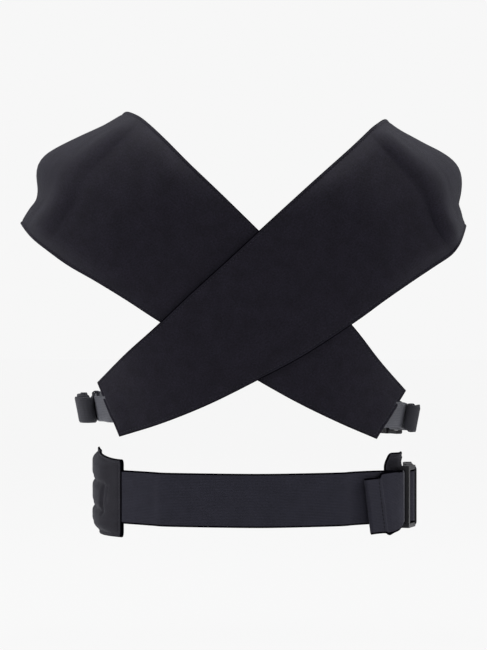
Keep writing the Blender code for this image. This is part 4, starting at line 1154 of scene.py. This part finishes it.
def webbing_run(side, clip, place):
    """From the strap's lower end through the clip's ladder and back into a coil."""
    strap = clip.strap
    points, across = [], []
    for t, v in ((0.2, clip.low), (0.1, (0.5 + clip.low) / 2), (0.0, 0.5)):
        width = (strap_point(strap, t, 0.0) - strap_point(strap, t, 1.0)).length
        dv = WEB_WIDTH / 2 / width
        low, high = (strap_point(strap, t, q) + strap_normal(strap, t, q) * WEB_RISE
                     for q in (v + dv, v - dv))
        points.append((low + high) / 2)
        across.append((high - low).normalized())
    lean = Vector((math.sin(WEB_LEAN) * clip.lean, 0, math.cos(WEB_LEAN)))
    run = ladder_run(CLIP, place)
    roll = coil(**clip.coil)
    points += [*clip.out, *run, *clip.back, *roll]
    across += [lean.lerp(Z, ramp((i - 2) / 3)) for i in range(len(clip.out))]
    across += [Z] * len(run)
    across += [Z.lerp(lean, ramp((i - 1) / 2)) for i in range(len(clip.back))]
    across += [lean] * len(roll)
    stations = [(p, w, WEB_WIDTH / 2, WEB_THICK) for p, w in zip(points, across)]
    obj, line = tape(side + "_webbing_run", stations, [LIT_WEBBING] * 3)
    passed = length_at(line, run[PAST_BAR])
    # The run up to the main bar keeps the pale painted light; past the bar it takes the tail's
    # material.
    shade_faces(obj, clip.tail, lambda s, x: s > passed)
    hand_over(obj, "webbing", strap + "_strap", side + "_strap_webbing")


def clip_anchor(side, place):
    """Webbing loop on the clip's end bar, with three bartack rows on each ply."""
    r = CLIP.wrap
    points = end_bar_loop(CLIP, place, [(22.0, -1.0), (10.0, -1.0), (4.0, -r + 0.5)],
                          [(4.0, r - 0.6), (10.0, 0.9), (22.0, 0.9)])
    obj, line = tape(side + "_anchor_webbing", uniform(points, Z, WEB_WIDTH / 2, WEB_THICK),
                     [LIT_WEBBING] * 3)
    body = side + "_clip_anchor_loop"
    hand_over(obj, "webbing", body, body)
    lines = [tape_line(line, at, np.linspace(-10, 10, 12), rise)
             for inset in (7.5, 9.5, 11.5)
             for rise in (0.8, -0.8)
             for at in (inset, line.s[-1] - inset)]
    sewn = stitches(side + "_anchor_bartack", lines, length=1.6, gap=0.5, radius=0.26)
    hand_over(sewn, "webbing", body)


def ring(name, place, half_y, half_z, width, wall, mat):
    """Rectangular elastic loop: half inner sizes along local y and z, its width along local x."""
    r = 1.1
    y0, z0 = half_y - r, half_z - r
    profile = []
    for cy, cz, start in ((y0, z0, 0), (-y0, z0, 90), (-y0, -z0, 180), (y0, -z0, 270)):
        for step in range(0, 91, 15):
            a = math.radians(start + step)
            ny, nz = math.cos(a), math.sin(a)
            profile.append((cy + r * ny, cz + r * nz, ny, nz))
    profile.append(profile[0])
    columns = 9
    outer = np.zeros((len(profile), columns, 3))
    inner = np.zeros(outer.shape)
    uv = np.zeros((len(profile), columns, 2))
    along = running_length(np.array([p[:2] for p in profile]))
    for i, (y, z, ny, nz) in enumerate(profile):
        for k in range(columns):
            x = -width / 2 + width * k / (columns - 1)
            e = min(1.0, (width / 2 - abs(x)) / 0.6)
            full = 0.45 + 0.55 * math.sqrt(max(0.0, 1 - (1 - e) ** 2))
            low = wall * (0.5 - 0.5 * full)
            high = wall - low
            outer[i, k] = place @ Vector((x, y + ny * high, z + nz * high))
            inner[i, k] = place @ Vector((x, y + ny * low, z + nz * low))
            uv[i, k] = (along[i], x)
    return solid_sheet(name, outer, inner, uv, [mat])


def keeper(side, clip):
    """Elastic loop round both runs of the webbing, behind the ladder."""
    out = [Vector(p) for p in clip.out[-2:]]
    back = [Vector(p) for p in clip.back[:2]]
    a, b = (out[0] + out[1]) / 2, (back[0] + back[1]) / 2
    obj = ring(side + "_keeper_loop", frame_matrix((a + b) / 2, out[1] - out[0], Z),
               half_y=WEB_WIDTH / 2 + 0.6, half_z=abs(a.x - b.x) / 2 + WEB_THICK / 2 + 0.65,
               width=8.0, wall=1.0, mat=ELASTIC)
    body = side + "_webbing_keeper"
    hand_over(obj, "elastic_band", body, body)


for side, clip in CLIPS.items():
    clip_place = frame_matrix(clip.bar, clip.along, clip.width)
    webbing_run(side, clip, clip_place)
    clip_anchor(side, clip_place)
    keeper(side, clip)


# ---- front tabs --------------------------------------------------------------------------------
def front_tab(side):
    """Short cloth tab at the strap's front end."""
    across = (strap_point(side, LAST, 0.9) - strap_point(side, LAST, 0.1)).normalized()
    end = strap_point(side, LAST, 0.5)
    down = (end - strap_point(side, LAST - 0.6, 0.5)).normalized()
    down = (down - across * down.dot(across)).normalized()
    foot = end + strap_normal(side, LAST, 0.5) * TAB_RISE
    points = [foot + down * q for q in (-6.0, -2.0, 2.0, 6.0, 11.0, 16.0)]
    # The tab's rim faces take the painted rim shade.
    obj, line = tape(side + "_front_tab_cloth", uniform(points, across, 22.0, 1.5),
                     [TWILL, LINING, RIM_SHADE], cols=17)
    hand_over(obj, "webbing", side + "_strap", side + "_front_tab")
    lines = [tape_line(line, at, np.linspace(-20, 20, 16), rise)
             for at in (12.5, 19.5) for rise in (0.8, -0.8)]
    sewn = stitches(side + "_front_tab_stitching", lines, length=2.2, gap=0.9)
    hand_over(sewn, "webbing", side + "_strap")


front_tab("left")
front_tab("right")

# ---- buckles: the frame's own solids with softened edges ---------------------------------------
for name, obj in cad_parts.items():
    if "plug" in name or "socket" in name or "prong" in name:
        obj.data.materials.clear()
        obj.data.materials.append(PLASTIC_SHADE_AND_GLINT)
        m = obj.modifiers.new("Soft edges", "BEVEL")
        m.width = 0.0007 if name.startswith("belt") else 0.00045
        m.segments = 3
        m.limit_method = "ANGLE"
        m.angle_limit = math.radians(40)
        m.use_clamp_overlap = True
        m.harden_normals = False

# ---- stage, light, camera (metres) -------------------------------------------------------------
FLOOR_DROP = 0.10
FLOOR_HALF = 20
BACKDROP = (0.93, 0.93, 0.93, 1)        # what the camera sees of floor and world
scene = bpy.context.scene


def floor_material():
    """Pale floor that the camera sees almost wholly as an even glow."""
    n = new_material("pale_floor")
    coords = n.add("TexCoord").outputs["Object"]
    grain = n.noise(coords, Scale=3.0, Detail=2.0)
    n.set("Base Color", n.mix(grain, (0.86, 0.86, 0.87), (0.9, 0.9, 0.9)))
    n.set("Roughness", 0.9)
    glow = n.add("Emission", Color=BACKDROP, Strength=1.0)
    seen = n.math("MULTIPLY", n.add("LightPath").outputs["Is Camera Ray"], 0.985)
    both = n.add("MixShader", seen, n.main.outputs[0], glow.outputs[0])
    n.feed(n.tree.nodes["Material Output"].inputs["Surface"], both.outputs[0])
    return n.owner


def build_floor():
    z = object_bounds()[0].z - FLOOR_DROP
    h = FLOOR_HALF
    mesh = bpy.data.meshes.new("floor")
    mesh.from_pydata([(-h, -h, z), (h, -h, z), (h, h, z), (-h, h, z)], [], [(0, 1, 2, 3)])
    floor = link_mesh("floor", mesh)
    mesh.materials.append(floor_material())


def build_world():
    """Soft studio light, seen by the camera as the plain backdrop."""
    n = Shader(bpy.data.worlds.new("studio"), main="Background")
    scene.world = n.owner
    n.set("Color", (0.93, 0.935, 0.95, 1))
    n.set("Strength", 0.45)
    pale = n.add("Background", Color=BACKDROP)
    seen = n.add("LightPath").outputs["Is Camera Ray"]
    both = n.add("MixShader", seen, n.main.outputs[0], pale.outputs[0])
    n.feed(n.tree.nodes["World Output"].inputs["Surface"], both.outputs[0])


def softbox(name, place, aim, size, power):
    light = bpy.data.lights.new(name, "AREA")
    light.shape = "RECTANGLE"
    light.size, light.size_y = size
    light.energy = power
    light.color = (1, 1, 1)
    obj = bpy.data.objects.new(name, light)
    scene.collection.objects.link(obj)
    obj.visible_camera = False
    obj.location = place
    obj.rotation_euler = (Vector(aim) - Vector(place)).to_track_quat("-Z", "Y").to_euler()


def build_camera():
    """At the eye point of the rear elevation, looking along +Y."""
    data = bpy.data.cameras.new("camera")
    data.sensor_width = 36.0
    data.lens = 139.9
    data.clip_end = 50
    camera = bpy.data.objects.new("camera", data)
    scene.collection.objects.link(camera)
    camera.location = (VIEW_X * MM, -VIEW_DISTANCE * MM, VIEW_Z * MM)
    camera.rotation_euler = (math.radians(90), 0, 0)
    scene.camera = camera


build_floor()
build_world()
# name, place, aim, size, power in watts
for box in (
    ("key", (-1.1, -1.9, 1.5), (0, 0, 0.15), (1.4, 1.4), 19),
    ("fill", (1.6, -1.7, 0.7), (0, 0, 0.15), (1.6, 1.6), 7),
    ("top", (0.0, 0.3, 1.9), (0, 0.1, 0.2), (1.8, 1.2), 52),
    ("side_left", (-1.8, -0.1, 1.0), (0, 0.1, 0.3), (0.9, 1.4), 30),
    ("side_right", (1.8, 0.0, 0.9), (0, 0.1, 0.3), (0.9, 1.4), 24),
):
    softbox(*box)
build_camera()
scene.view_settings.view_transform = "Standard"
scene.view_settings.look = "None"
